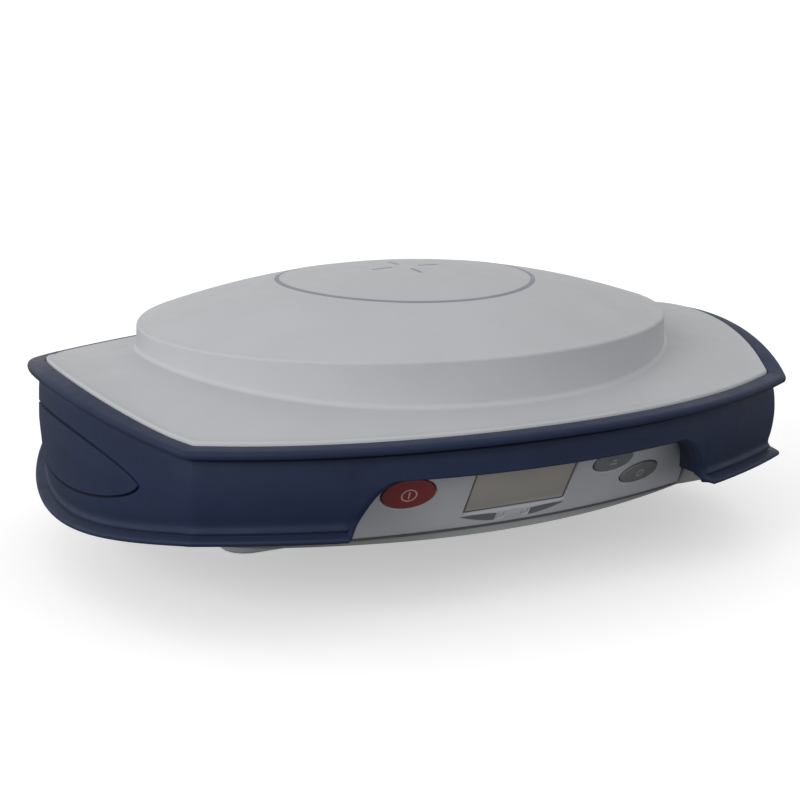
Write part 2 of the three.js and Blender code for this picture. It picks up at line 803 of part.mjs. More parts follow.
function recess(grow, back) {
  const slab = panelSlab(-PANEL_GROOVE - grow, 60, back, 60);
  return slab.intersect(openingPrism(POCKET_GROW + grow, RECESS_TOP + grow * 0.8, -20, 30, 140));
}

// Height of the underside of the bowl below a post, found from the nearest outline station.
function undersideZ(x, y) {
  const angle = Math.atan2(y, x);
  const edge = bodyRing(BODY_INSIDE, lipZ);
  const belly = ovalRing(BELLY_RX, BELLY_RY, flatLevel(BELLY_Z));
  const turn = (point) => {
    const difference = Math.atan2(point.y, point.x) - angle;
    return Math.abs(Math.atan2(Math.sin(difference), Math.cos(difference)));
  };
  const nearest = edge.reduce((best, point, i) => (turn(point) < turn(edge[best]) ? i : best), 0);
  const far = Math.hypot(edge[nearest].x, edge[nearest].y);
  const near = Math.hypot(belly[nearest].x, belly[nearest].y);
  const share = THREE.MathUtils.clamp((far - Math.hypot(x, y)) / (far - near), 0, 1);
  const straight = THREE.MathUtils.lerp(edge[nearest].z, BELLY_Z, share);
  return straight - BOWL_BULGE * Math.sin(Math.PI * share);
}

function lowerHousing() {
  const radioPocket = join(
    moduleBlock(GAP, -1, MODULE_TOP + GAP),
    podBlock(POD_X, GAP, -1, MODULE_TOP + GAP),
  );
  const outside = join(
    bowlStack(BODY_INSET, 0, RIM_Z),
    podBlock(-POD_X, 0, 0, POD_TOP),
    podBlock(POD_X, 0, MODULE_TOP + GAP, POD_TOP),
    post(0, 0, BOSS_Z, POD_TOP, BOSS_R, 24),
  );
  const walls = WALL - GAP;
  const inside = cut(
    bowlStack(BODY_INSIDE, WALL, 70),
    recess(walls, PANEL_WALL_BACK),
    podBlock(-POD_X, 0, 0, BAY_TOP + walls),
    podBlock(POD_X, walls, 0, MODULE_TOP + GAP + walls),
    post(0, 0, 0, INSERT_TOP + GAP + walls, BOSS_R - 1, 24),
  );
  let housing = cut(
    outside, radioPocket, recess(0, PANEL_BACK), inside,
    doorBlock(GAP, -1, DOOR_TOP + 0.9),
    post(0, 0, 0, INSERT_TOP + GAP, INSERT_R + GAP, 24),
    post(-POD_X, DOOR_SCREW_Y, 0, DOOR_SCREW_TOP + 1, DOOR_SCREW_R + 2 * GAP),
    slotBox(-POD_X, CONTACT_SLOT, 0, BAY_TOP - 1, BAY_TOP + 6),
    slotBox(POD_X, PLUG_SLOT, 0, MODULE_TOP, MODULE_TOP + 8),
  );
  for (const button of BUTTONS) {
    housing = housing.subtract(buttonPrism(button, GAP, -6, 5));
  }
  housing = housing.subtract(displayPrism(-1, -6, 5));
  for (const side of [-1, 1]) {
    housing = housing.subtract(lightPrism(side, GAP, -6, 5));
  }
  const screwPosts = HOUSING_SCREWS.map(([x, y]) => post(
    x, y, undersideZ(x, y) + 1, POST_SPLIT_Z - GAP, POST_R,
  ));
  const boardPosts = BOARD_SCREWS.map(([x, y]) => post(
    x, y, undersideZ(x, y) + 1, BOARD_Z - GAP, BOARD_POST_R,
  ));
  housing = join(housing, ...screwPosts, ...boardPosts).subtract(bayBlock(-1, BAY_TOP));
  for (const [x, y] of HOUSING_SCREWS) {
    const seat = screwSeatZ(x, y);
    housing = cut(
      housing,
      post(x, y, 0, POST_SPLIT_Z + 1, SCREW_HOLE_R, 10),
      post(x, y, 0, seat, SCREW_HEAD_R + GAP),
    );
  }
  for (const [x, y] of BOARD_SCREWS) {
    housing = housing.subtract(post(x, y, BOARD_Z - 6, BOARD_Z + 1, SCREW_HOLE_R, 10));
  }
  for (const x of SOCKET_PLACES) {
    const lugRear = CAP_HINGE_Y - GAP;
    housing = housing.add(box(
      x - STRAP_HALF_WIDTH, x + STRAP_HALF_WIDTH, lugRear - 2.3, lugRear, CAP_HINGE_Z + GAP, 25,
    ));
    housing = housing.subtract(post(x, SOCKET_Y, 0, 40, SOCKET_R + GAP, 16));
  }
  for (const { x, y, radius } of AERIAL_SOCKETS) {
    housing = housing.subtract(post(x, y, 0, AERIAL_TOP, radius * 0.6 + GAP));
  }
  for (const [x, y] of MODULE_SCREWS) {
    housing = housing.subtract(post(x, y, MODULE_TOP - 1, MODULE_SCREW_TOP + 1.5, SCREW_HOLE_R, 10));
  }
  return named('lower_housing', housing, LOOK.grey);
}

// The screw heads lie in counterbores, just inside the underside.
function screwSeatZ(x, y) {
  return undersideZ(x, y) + SCREW_HEAD_H + 2 * GAP;
}

function housingScrews() {
  return HOUSING_SCREWS.map(([x, y], i) => {
    const seat = screwSeatZ(x, y) - GAP;
    const screw = join(
      post(x, y, seat - SCREW_HEAD_H, seat, SCREW_HEAD_R),
      post(x, y, seat - 0.5, POST_SPLIT_Z + 8, SCREW_R, 8),
    );
    return named(`housing_screw_${i + 1}`, screw, LOOK.steel);
  });
}

// ---------------------------------------------------------------- battery, door and radio module

function batteryPieces() {
  const x = -POD_X;
  const headTop = DOOR_LIFT + DOOR_SCREW_HEAD_H;
  const door = cut(
    doorBlock(0, DOOR_LIFT, DOOR_TOP),
    post(x, DOOR_SCREW_Y, DOOR_LIFT - 1, headTop + GAP, DOOR_SCREW_HEAD_R + GAP),
    post(x, DOOR_SCREW_Y, 0, DOOR_TOP + 1, DOOR_SCREW_R + GAP),
  );
  const coinSlot = box(
    x - 3, x + 3, DOOR_SCREW_Y - COIN_SLOT_WIDTH / 2, DOOR_SCREW_Y + COIN_SLOT_WIDTH / 2,
    -1, DOOR_LIFT + 0.6,
  );
  const screw = cut(
    join(
      post(x, DOOR_SCREW_Y, DOOR_LIFT, headTop, DOOR_SCREW_HEAD_R),
      post(x, DOOR_SCREW_Y, DOOR_LIFT + 0.5, DOOR_SCREW_TOP, DOOR_SCREW_R),
    ),
    coinSlot,
  );
  const bayLength = BAY_REAR - BAY_FRONT;
  const pack = roundedBlock(
    x, BAY_Y, BAY_WIDTH - 1, bayLength - 1, 2, DOOR_TOP + 1.4, BAY_TOP - GAP,
  );
  const sealWidth = DOOR_WIDTH - 0.4;
  const sealLength = bayLength + 2;
  const seal = cut(
    roundedBlock(x, BAY_Y, sealWidth, sealLength, 3, DOOR_TOP + 0.1, DOOR_TOP + 0.7),
    roundedBlock(
      x, BAY_Y, sealWidth - 2 * DOOR_SEAL_WIDTH, sealLength - 2 * DOOR_SEAL_WIDTH, 2,
      DOOR_TOP - 1, DOOR_TOP + 2,
    ),
  );
  const contacts = join(
    slotBox(x, CONTACT_SLOT, GAP, BAY_TOP + 0.2, BAY_TOP + CONTACT_HEIGHT),
    slotBox(x, CONTACT_SLOT, -1, BAY_TOP + 2.6, BAY_TOP + CONTACT_HEIGHT),
  );
  return [
    named('battery_door', door, LOOK.grey),
    named('door_screw', screw, LOOK.steel),
    named('door_seal', seal, LOOK.seal),
    named('battery', pack, LOOK.dark),
    named('battery_contacts', contacts, LOOK.brass),
  ];
}

function radioPieces() {
  let module = join(
    moduleBlock(0, 0, MODULE_TOP),
    slotBox(POD_X, PLUG_SLOT, 0.5, MODULE_TOP - 1, MODULE_TOP + PLUG_HEIGHT),
  );
  const pieces = [];
  MODULE_SCREWS.forEach(([x, y], i) => {
    module = cut(
      module,
      post(x, y, -1, MODULE_TOP + 1, SCREW_HOLE_R, 10),
      post(x, y, -1, 3, SCREW_HEAD_R + GAP),
    );
    const screw = join(
      post(x, y, 0.9, 2.7, SCREW_HEAD_R),
      post(x, y, 2, MODULE_SCREW_TOP, SCREW_R, 8),
    );
    pieces.push(named(`radio_screw_${i + 1}`, screw, LOOK.steel));
  });
  pieces.push(named('radio_module', module, LOOK.grey));
  return pieces;
}

function aerialSockets() {
  return AERIAL_SOCKETS.map(({ name, x, y, radius, low, seat }) => {
    const barrel = cut(
      join(
        post(x, y, low, seat - GAP, radius * 0.85, 16),
        post(x, y, seat - 2, seat - GAP, radius, 6),
        post(x, y, seat - 1, AERIAL_TOP, radius * 0.6),
      ),
      post(x, y, low - 1, low + 4, radius * 0.35, 12),
    );
    return named(name, barrel, LOOK.brass);
  });
}

// ---------------------------------------------------------------- sockets and their caps

function socketPieces() {
  const pieces = [];
  SOCKET_NAMES.forEach((name, i) => {
    const x = SOCKET_PLACES[i];
    const shell = cut(
      post(x, SOCKET_Y, SOCKET_MOUTH_Z, SOCKET_TOP_Z, SOCKET_R, 16),
      post(x, SOCKET_Y, SOCKET_MOUTH_Z - 1, SOCKET_FLOOR_Z, SOCKET_R - SOCKET_WALL, 16),
    );
    const capTop = SOCKET_MOUTH_Z - GAP;
    const cap = join(
      post(x, SOCKET_Y, capTop - CAP_THICK, capTop, SOCKET_R + CAP_OVERLAP, 16),
      box(
        x - STRAP_HALF_WIDTH, x + STRAP_HALF_WIDTH, CAP_HINGE_Y, SOCKET_Y - 4,
        capTop - CAP_THICK, CAP_HINGE_Z,
      ),
    );
    pieces.push(named(`${name}_socket`, shell, LOOK.steel));
    pieces.push(named(`${name}_cap`, cap, LOOK.seal));
  });
  return pieces;
}

// ---------------------------------------------------------------- pole insert and electronics

function poleInsert() {
  const insert = cut(
    post(0, 0, BOSS_Z + 0.2, INSERT_TOP, INSERT_R, 24),
    post(0, 0, 0, INSERT_TOP - 2.5, THREAD_R, 24),
  );
  return named('pole_insert', insert, LOOK.brass);
}

function mainBoard() {
  let board = box(-BOARD_X, BOARD_X, BOARD_FRONT, BOARD_REAR, BOARD_Z, BOARD_Z + BOARD_THICK);
  for (const [x, y] of BOARD_SCREWS) {
    board = board.subtract(post(x, y, BOARD_Z - 1, BOARD_Z + 3, SCREW_HOLE_R, 10));
  }
  return named('main_board', board, LOOK.board);
}

function boardScrews() {
  const top = BOARD_Z + BOARD_THICK + GAP;
  return BOARD_SCREWS.map(([x, y], i) => {
    const screw = join(
      post(x, y, top, top + SCREW_HEAD_H, SCREW_HEAD_R),
      post(x, y, BOARD_Z - 5, top + 0.5, SCREW_R, 8),
    );
    return named(`board_screw_${i + 1}`, screw, LOOK.steel);
  });
}

function boardParts() {
  const top = BOARD_Z + BOARD_THICK + GAP;
  return [
    named('shield_can', slotBox(0, SHIELD, 0, top, top + SHIELD_HEIGHT), LOOK.aluminium),
    named('beeper', post(BEEPER_X, BEEPER_Y, top, top + BEEPER_HEIGHT, BEEPER_R, 16), LOOK.dark),
  ];
}

function antennaPieces() {
  const under = PLANE_Z - GAP;
  const patchZ = PLANE_Z + PLANE_THICK + GAP;
  const upperZ = patchZ + PATCH_HEIGHT + GAP;
  const foot = BOARD_Z + BOARD_THICK + GAP;
  const pieces = PILLARS.map(([x, y], i) => named(
    `antenna_pillar_${i + 1}`, post(x, y, foot, under, PILLAR_R, 6), LOOK.aluminium,
  ));
  const plane = post(0, 0, PLANE_Z, PLANE_Z + PLANE_THICK, PLANE_R, 36);
  const patch = post(0, 0, patchZ, patchZ + PATCH_HEIGHT, PATCH_R, 32);
  const upperPatch = post(0, 0, upperZ, upperZ + UPPER_PATCH_HEIGHT, UPPER_PATCH_R, 24);
  const feed = post(0, FEED_Y, foot + SHIELD_HEIGHT + GAP, under, FEED_R, 10);
  pieces.push(
    named('ground_plane', plane, LOOK.aluminium),
    named('antenna_patch', patch, LOOK.ceramic),
    named('antenna_upper_patch', upperPatch, LOOK.ceramic),
    named('antenna_feed', feed, LOOK.brass),
  );
  return pieces;
}

// ---------------------------------------------------------------- the whole receiver

const receiver = new THREE.Group();
receiver.add(
  radome(),
  housingSeal(),
  ...bumperPieces(),
  lowerHousing(),
  ...housingScrews(),
  ...panelPieces(),
  ...batteryPieces(),
  ...radioPieces(),
  ...aerialSockets(),
  ...socketPieces(),
  poleInsert(),
  mainBoard(),
  ...boardScrews(),
  ...boardParts(),
  ...antennaPieces(),
);

export default receiver;
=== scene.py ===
"""Looks for a pole-top satellite survey receiver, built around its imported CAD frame."""

import math

import bmesh
import bpy
import numpy as np
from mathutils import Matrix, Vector


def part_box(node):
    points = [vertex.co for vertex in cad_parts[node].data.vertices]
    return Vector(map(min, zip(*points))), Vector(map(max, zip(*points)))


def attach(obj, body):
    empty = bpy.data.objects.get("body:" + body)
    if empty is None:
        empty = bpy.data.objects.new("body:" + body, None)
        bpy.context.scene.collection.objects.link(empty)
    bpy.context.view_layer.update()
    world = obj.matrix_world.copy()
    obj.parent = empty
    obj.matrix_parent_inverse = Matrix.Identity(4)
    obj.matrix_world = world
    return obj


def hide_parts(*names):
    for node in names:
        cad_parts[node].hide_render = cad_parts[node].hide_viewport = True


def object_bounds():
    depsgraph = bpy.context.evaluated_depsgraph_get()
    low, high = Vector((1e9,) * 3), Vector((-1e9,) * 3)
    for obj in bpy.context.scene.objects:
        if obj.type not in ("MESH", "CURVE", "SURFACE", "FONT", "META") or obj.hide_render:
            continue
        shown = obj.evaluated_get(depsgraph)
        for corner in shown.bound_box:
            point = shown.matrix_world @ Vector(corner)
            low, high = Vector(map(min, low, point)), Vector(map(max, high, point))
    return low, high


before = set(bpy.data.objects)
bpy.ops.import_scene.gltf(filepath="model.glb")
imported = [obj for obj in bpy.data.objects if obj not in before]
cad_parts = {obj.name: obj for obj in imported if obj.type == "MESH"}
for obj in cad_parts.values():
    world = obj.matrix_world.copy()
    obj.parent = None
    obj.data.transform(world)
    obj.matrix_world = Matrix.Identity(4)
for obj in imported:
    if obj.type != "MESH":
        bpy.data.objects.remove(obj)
cad_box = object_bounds()

# ---- driving dimensions, millimetres

MM = 0.001
GAP = 0.3
WIDTH, DEPTH, HEIGHT = [1000 * (cad_box[1][i] - cad_box[0][i]) for i in range(3)]
WALL = 2.5

CORNER_X, CORNER_Y, CORNER_EASE = 95.9, 66.1, 0.9
DECK_Z, DECK_SIDE_RISE, DECK_FRONT_RISE = 46.9, 15.1, 5.4
RIDGE_Z, RIDGE_SIDE_RISE, RIDGE_FRONT_RISE = 48.1, 12.5, 4.3
LIP_Z, LIP_SIDE_DROOP, LIP_FRONT_DROOP = 32.9, 12.6, 3.7
RISE_REACH = 115.0

DOME_RX, DOME_RY = 82.9, 71.8
CREASE_Z = 69.9
CROWN_RISE = HEIGHT - CREASE_Z
FLANGE_INSET = 5.4
DECK_INSET = FLANGE_INSET + GAP
BUMPER_INSIDE = 7.0
BODY_INSET = BUMPER_INSIDE + GAP
BODY_INSIDE = BODY_INSET + WALL
RIM_Z = 47.4
SKIRT_Z = 48.6

BELLY_RX, BELLY_RY, BELLY_Z, BOWL_BULGE = 54.0, 24.0, 8.0, 2.7
POD_X, POD_FRONT, POD_REAR, POD_WIDTH, POD_ROUND = 40.0, -2.5, 66.0, 40.0, 8.0
POD_TOP, POD_DRAFT = 26.0, 1.5
POD_Y, POD_LENGTH = (POD_FRONT + POD_REAR) / 2, POD_REAR - POD_FRONT

PANEL_RADIUS, PANEL_EDGE_Y, PANEL_EDGE_Z = 220.0, -64.5, 20.3
PANEL_LEAN = math.radians(30.2)
PANEL_HEIGHT, PANEL_THICK = 25.0, 2.0
PANEL_CENTRE_Y = PANEL_EDGE_Y + PANEL_RADIUS
PANEL_TRIM = 0.8
RECESS_TOP = 43.8
OPENING_TOP_X, OPENING_CURVE_X, OPENING_SHOULDER_X, OPENING_FOOT_X = 44.0, 50.6, 57.5, 58.5
OPENING_TOP_Z, OPENING_SHOULDER_Z = 43.3, 28.8
POCKET_GROW = 8.0

DISPLAY_WIDTH, DISPLAY_HEIGHT, DISPLAY_LOW = 32.8, 17.3, 6.0
BUTTONS = {
    "power_button": (-33.6, 17.0, 7.6, 5.4),
    "scroll_button": (28.6, 18.6, 7.0, 3.9),
    "log_button": (42.0, 11.1, 7.3, 3.9),
}
DISPLAY_UP = DISPLAY_LOW + DISPLAY_HEIGHT / 2
LIGHT_X, LIGHT_UP, LIGHT_SIZE = 3.9, 3.8, 2.2

# ---- mesh helpers


def add_object(name, data):
    obj = bpy.data.objects.new(name, data)
    bpy.context.collection.objects.link(obj)
    return obj


def new_object(name, vertices, faces, smooth=40):
    """A mesh object from points in millimetres, shaded smooth up to an angle in degrees."""
    mesh = bpy.data.meshes.new(name)
    mesh.from_pydata([tuple(float(c) * MM for c in point) for point in vertices], [], faces)
    return tidy_mesh(add_object(name, mesh), smooth)


def tidy_mesh(obj, smooth=40):
    work = bmesh.new()
    work.from_mesh(obj.data)
    bmesh.ops.remove_doubles(work, verts=work.verts, dist=2e-6)
    bmesh.ops.dissolve_degenerate(work, edges=work.edges, dist=1e-7)
    bmesh.ops.recalc_face_normals(work, faces=work.faces)
    work.to_mesh(obj.data)
    work.free()
    obj.data.shade_smooth()
    obj.data.set_sharp_from_angle(angle=math.radians(smooth))
    return obj


def loft(name, rings, closed=False, tips=None, smooth=40):
    """A closed surface over equal rings: joined end to end, or closed by end faces or by tips."""
    rings = np.asarray(rings, float)
    ring_count, point_count = rings.shape[:2]
    points = rings.reshape(-1, 3).tolist()
    end = (ring_count - 1) * point_count
    faces = []
    for i in range(ring_count if closed else ring_count - 1):
        here, there = i * point_count, ((i + 1) % ring_count) * point_count
        for j in range(point_count):
            k = (j + 1) % point_count
            faces.append((here + j, here + k, there + k, there + j))
    if tips is not None:
        first = len(points)
        points += tips
        for j in range(point_count):
            k = (j + 1) % point_count
            faces += [(first, k, j), (first + 1, end + j, end + k)]
    elif not closed:
        faces += [range(point_count)[::-1], range(end, end + point_count)]
    return new_object(name, points, faces, smooth)


def apply_modifier(obj, kind, **settings):
    modifier = obj.modifiers.new(kind.lower(), kind)
    for key, value in settings.items():
        setattr(modifier, key, value)
    depsgraph = bpy.context.evaluated_depsgraph_get()
    mesh = bpy.data.meshes.new_from_object(obj.evaluated_get(depsgraph))
    obj.modifiers.clear()
    old, obj.data = obj.data, mesh
    bpy.data.meshes.remove(old)
    return obj


def combine(base, tool, operation):
    """Boolean of two objects; the tool is used up."""
    apply_modifier(base, "BOOLEAN", object=tool, operation=operation, solver="EXACT")
    bpy.data.objects.remove(tool)
    return base


def cut(base, *tools):
    for tool in tools:
        combine(base, tool, "DIFFERENCE")
    return base


def join(base, *tools):
    for tool in tools:
        combine(base, tool, "UNION")
    return base


def rounded_loop(x, y, width, length, radius, z, steps=6):
    """A rectangle with round corners at one height."""
    points = []
    for quarter, (side, end) in enumerate(((1, 1), (-1, 1), (-1, -1), (1, -1))):
        centre_x, centre_y = x + side * (width / 2 - radius), y + end * (length / 2 - radius)
        for i in range(steps + 1):
            angle = math.pi / 2 * (quarter + i / steps)
            points.append((centre_x + radius * math.cos(angle), centre_y + radius * math.sin(angle), z))
    return points


def rounding(radius, start, steps):
    """Places round the quarter circle of an edge, as distances from its two flat faces."""
    turns = np.linspace(start, 1, steps) * math.pi / 2
    return [(radius * (1 - math.cos(turn)), radius * (1 - math.sin(turn))) for turn in turns]


def rounded_block(name, x, y, width, length, radius, low, high, low_round=0, high_round=0, draft=0):
    """A block with round upright edges; its lower and upper rims are rounded too."""
    stations = [(low, -low_round)]
    if low_round:
        stations += [(low + up, -back) for up, back in rounding(low_round, 0.25, 4)]
    if high_round:
        stations += [(high - down, -back) for down, back in rounding(high_round, 0.25, 4)[::-1]]
    stations.append((high, -high_round))
    rings = []
    for z, grow in stations:
        grow += draft * (z - low) / (high - low)
        corner = max(radius + grow, 0.05)
        rings.append(rounded_loop(x, y, width + 2 * grow, length + 2 * grow, corner, z))
    return loft(name, rings)


def full_turn(steps):
    return np.linspace(0, 2 * math.pi, steps, endpoint=False)


def circle(x, y, radius, z, steps):
    """A level ring of points; the radius may differ from point to point."""
    turn = full_turn(steps)
    return np.column_stack([x + radius * np.cos(turn), y + radius * np.sin(turn), np.full(steps, z)])


def turned(name, x, y, profile, sides=48):
    """A solid turned about an upright axis, from (radius, z) points listed end to end."""
    rings = [circle(x, y, radius, z, sides) for radius, z in profile[1:-1]]
    tips = ((x, y, profile[0][1]), (x, y, profile[-1][1]))
    return loft(name, rings, tips=tips, smooth=35)


def disc(name, x, y, low, high, radius, sides=48, ease=0.0):
    side = [(radius, low), (radius, high)]
    if ease:
        side = [(radius - ease, low), (radius, low + ease), (radius, high - ease), (radius - ease, high)]
    return turned(name, x, y, [(0, low), *side, (0, high)], sides)


def block(name, x0, x1, y0, y1, z0, z1):
    corners = [(x, y, z) for x in (x0, x1) for y in (y0, y1) for z in (z0, z1)]
    faces = [(0, 1, 3, 2), (4, 6, 7, 5), (0, 4, 5, 1), (2, 3, 7, 6), (0, 2, 6, 4), (1, 5, 7, 3)]
    return new_object(name, corners, faces, 30)


def merge(pieces):
    """Makes one object of several; it is the first one and keeps its name."""
    with bpy.context.temp_override(active_object=pieces[0], selected_editable_objects=pieces):
        bpy.ops.object.join()
    return pieces[0]


# ---- plan outline and edge heights


def arc_radius(half_chord, sagitta):
    return (half_chord ** 2 + sagitta ** 2) / (2 * sagitta)


FRONT_RADIUS = arc_radius(CORNER_X, DEPTH / 2 - CORNER_Y)
SIDE_RADIUS = arc_radius(CORNER_Y, WIDTH / 2 - CORNER_X)
FRONT_CENTRE = FRONT_RADIUS - DEPTH / 2
SIDE_CENTRE = SIDE_RADIUS - WIDTH / 2


def plan_corner(inset):
    side, front = SIDE_RADIUS - inset, FRONT_RADIUS - inset
    span = math.hypot(SIDE_CENTRE, FRONT_CENTRE)
    along = (side ** 2 - front ** 2 + span ** 2) / (2 * span)
    across = math.sqrt(side ** 2 - along ** 2)
    x = (along * SIDE_CENTRE + across * FRONT_CENTRE) / span - SIDE_CENTRE
    y = (across * SIDE_CENTRE - along * FRONT_CENTRE) / span
    return np.array([x, y])


class Outline:
    """The plan outline as stations that can be moved inward by any inset."""

    def __init__(self, side_shares, front_shares, corner_steps=4):
        self.side_shares = np.asarray(side_shares)
        self.front_shares = np.asarray(front_shares)
        self.corner_steps = corner_steps
        self.near = self.ring(0)
        self.far = self.ring(10)

    def quarter(self, inset):
        corner = plan_corner(inset)
        side, front = SIDE_RADIUS - inset, FRONT_RADIUS - inset
        side_end = math.atan2(corner[1], corner[0] + SIDE_CENTRE) - CORNER_EASE / side
        front_end = math.atan2(corner[1] + FRONT_CENTRE, corner[0]) + CORNER_EASE / front
        angle = side_end * self.side_shares
        side_arc = np.column_stack([side * np.cos(angle) - SIDE_CENTRE, side * np.sin(angle)])
        angle = front_end + (math.pi / 2 - front_end) * self.front_shares
        front_arc = np.column_stack([front * np.cos(angle), front * np.sin(angle) - FRONT_CENTRE])
        t = np.linspace(0, 1, self.corner_steps + 2)[1:-1, None]
        bend = (1 - t) ** 2 * side_arc[-1] + 2 * t * (1 - t) * corner + t ** 2 * front_arc[0]
        return np.vstack([side_arc, bend, front_arc])

    def ring(self, inset):
        quarter = self.quarter(inset)
        half = np.vstack([quarter[:-1], (quarter * (-1, 1))[:0:-1]])
        return np.vstack([half, -half])

    def at(self, inset):
        share = np.asarray(inset, float) / 10
        if share.ndim:
            share = share[:, None]
        return self.near + (self.far - self.near) * share


def side_share(y):
    return np.cos(math.pi / 2 * np.minimum(1, np.abs(y) / RISE_REACH)) ** 2


def front_share(x):
    return np.maximum(0, 1 - (x / CORNER_X) ** 2)


def deck_z(x, y):
    return DECK_Z + DECK_SIDE_RISE * side_share(y) + DECK_FRONT_RISE * front_share(x)


def ridge_z(x, y):
    return RIDGE_Z + RIDGE_SIDE_RISE * side_share(y) + RIDGE_FRONT_RISE * front_share(x)


def lip_z(x, y):
    return LIP_Z - LIP_SIDE_DROOP * side_share(y) - LIP_FRONT_DROOP * front_share(x)


def wall_middle_z(x, y):
    return (ridge_z(x, y) + lip_z(x, y)) / 2


def at_height(plan, level, up=0.0):
    z = level(plan[:, 0], plan[:, 1]) if callable(level) else np.full(len(plan), float(level))
    return np.column_stack([plan, z + up])


FINE = Outline(
    np.linspace(0, 1, 31),
    1 - np.concatenate([
        np.linspace(0, 0.38, 19)[:-1], np.linspace(0.38, 0.64, 37)[:-1], np.linspace(0.64, 1, 19),
    ])[::-1],
)
PLAIN = Outline(np.linspace(0, 1, 15), np.linspace(0, 1, 21), 2)


def oval_ring(outline, rx, ry, level, up=0.0):
    angle = np.arctan2(outline.near[:, 1], outline.near[:, 0])
    reach = 1 / np.hypot(np.cos(angle) / rx, np.sin(angle) / ry)
    return at_height(np.column_stack([reach * np.cos(angle), reach * np.sin(angle)]), level, up)


# ---- radome

CREASE_ROUND = 0.8
FOOT_ROUND = 1.3
DOME_DRAFT = 0.2
# The bead along the deck's edge, as distances in from the edge and rises over the deck.
BEAD_REACH = 2.6
EDGE_BEAD = [(1.6, 0.12), (0.9, 0.3), (0.45, 0.34), (0.15, 0.2), (0.0, -0.15)]


def cover_rings(outline, lowered, edge_inset):
    """The cover's upper face from the crown out to its edge, or its lower face when lowered."""
    rx, ry = DOME_RX - lowered, DOME_RY - lowered
    rings = []
    for share in np.linspace(0.04, 1 - CREASE_ROUND / DOME_RX, 26):
        z = CREASE_Z + CROWN_RISE * (1 - share ** 2) - lowered
        rings.append(oval_ring(outline, share * rx, share * ry, z))
    for down, back in rounding(CREASE_ROUND, 0.15, 6):
        rings.append(oval_ring(outline, rx - back, ry - back, z - 1.15 * down))
    for out, up in rounding(FOOT_ROUND, 0, 9):
        spread = DOME_DRAFT + out
        rings.append(oval_ring(outline, rx + spread, ry + spread, deck_z, up - lowered))
    foot, edge = rings[-1][:, :2], outline.at(edge_inset)
    for share in np.linspace(0, 1, 9)[1:]:
        rings.append(at_height(foot * (1 - share) + edge * share, deck_z, -lowered))
    return rings


def make_radome():
    rings = cover_rings(FINE, 0, DECK_INSET + BEAD_REACH)
    rings += [at_height(FINE.at(DECK_INSET + inward), deck_z, up) for inward, up in EDGE_BEAD]
    rings += [at_height(FINE.at(inset), deck_z, -WALL) for inset in (DECK_INSET, BODY_INSET)]
    rings += [at_height(FINE.at(inset), SKIRT_Z) for inset in (BODY_INSET, BODY_INSIDE)]
    rings += cover_rings(FINE, WALL, BODY_INSIDE)[::-1]
    return loft("radome_skin", rings, tips=((0, 0, HEIGHT), (0, 0, HEIGHT - WALL)), smooth=50)


# ---- bumper

# Both tables hold (inset, height function, rise over it, corner radius).
WALL_POINTS = [
    (3.8, ridge_z, -3.6, 0.3),
    (3.1, ridge_z, -6.0, 4.0),
    (2.7, wall_middle_z, 1.0, 9.0),
    (3.4, lip_z, 8.0, 4.0),
    (4.4, lip_z, 4.6, 1.4),
]
SECTION = [
    (FLANGE_INSET, deck_z, -0.35, 0.35),
    (0.5, ridge_z, 0.35, 0.9),
    (0.0, ridge_z, -0.6, 0.8),
    (0.3, ridge_z, -1.9, 0.5),
    (4.7, ridge_z, -1.8, 0.3),
    (4.7, ridge_z, -3.5, 0.3),
    *WALL_POINTS,
    (3.3, lip_z, 3.2, 0.7),
    (4.4, lip_z, 2.3, 0.5),
    (1.0, lip_z, 1.6, 0.6),
    (0.6, lip_z, 0.6, 0.6),
    (1.4, lip_z, 0.0, 0.5),
    (BUMPER_INSIDE, lip_z, 0.0, 0.4),
    (BUMPER_INSIDE, deck_z, -WALL - GAP, 0.2),
    (FLANGE_INSET, deck_z, -WALL - GAP, 0.2),
]
WALL_TOP, WALL_END, INNER_FOOT = 6, 10, 16
# The hem round the opening: its height, its points past the wall, and how it fades into the lip.
HEM = 0.9
HEM_INSETS = [0.0, 0.12, 0.5, 1.6, 2.6, 1.0]
HEM_RISES = [0.5, 0.15, 0.0, 0.0, 0.0, 0.0]
HEM_REACH_X, HEM_FADE, LIP_HEIGHT = 62, 2.2, 4.2
WEB_THICK, WEB_TOP_THICK, WEB_GROW = 1.6, 0.6, 0.1
WEB_INNER_X, WEB_OUTER_X, WEB_FOOT_Z, WEB_CLEAR, WEB_INSET = 43.0, 60.0, 29.6, 3.0, 5.0


def opening_curve(top=OPENING_TOP_Z, steps=25):
    """The round corner of the panel opening, from its top edge down to its foot."""
    t = np.linspace(0, 1, steps)
    x = OPENING_TOP_X * (1 - t) ** 2 + 2 * OPENING_CURVE_X * t * (1 - t) + OPENING_SHOULDER_X * t ** 2
    return x, top * (1 - t ** 2) + OPENING_SHOULDER_Z * t ** 2


def opening_z(x):
    """Height of the panel opening's edge over x; far below the lip outside the opening."""
    xs, zs = opening_curve()
    return np.interp(abs(x), [*xs, xs[-1] + 0.9], [*zs, 0.0])


def wall_inset_at(x, y, z):
    """Inset of the bumper's outer wall at a height, from the wall's own section."""
    levels = [level(x, y) + up for _, level, up, _ in WALL_POINTS[::-1]]
    return np.interp(z, levels, [point[0] for point in WALL_POINTS[::-1]])


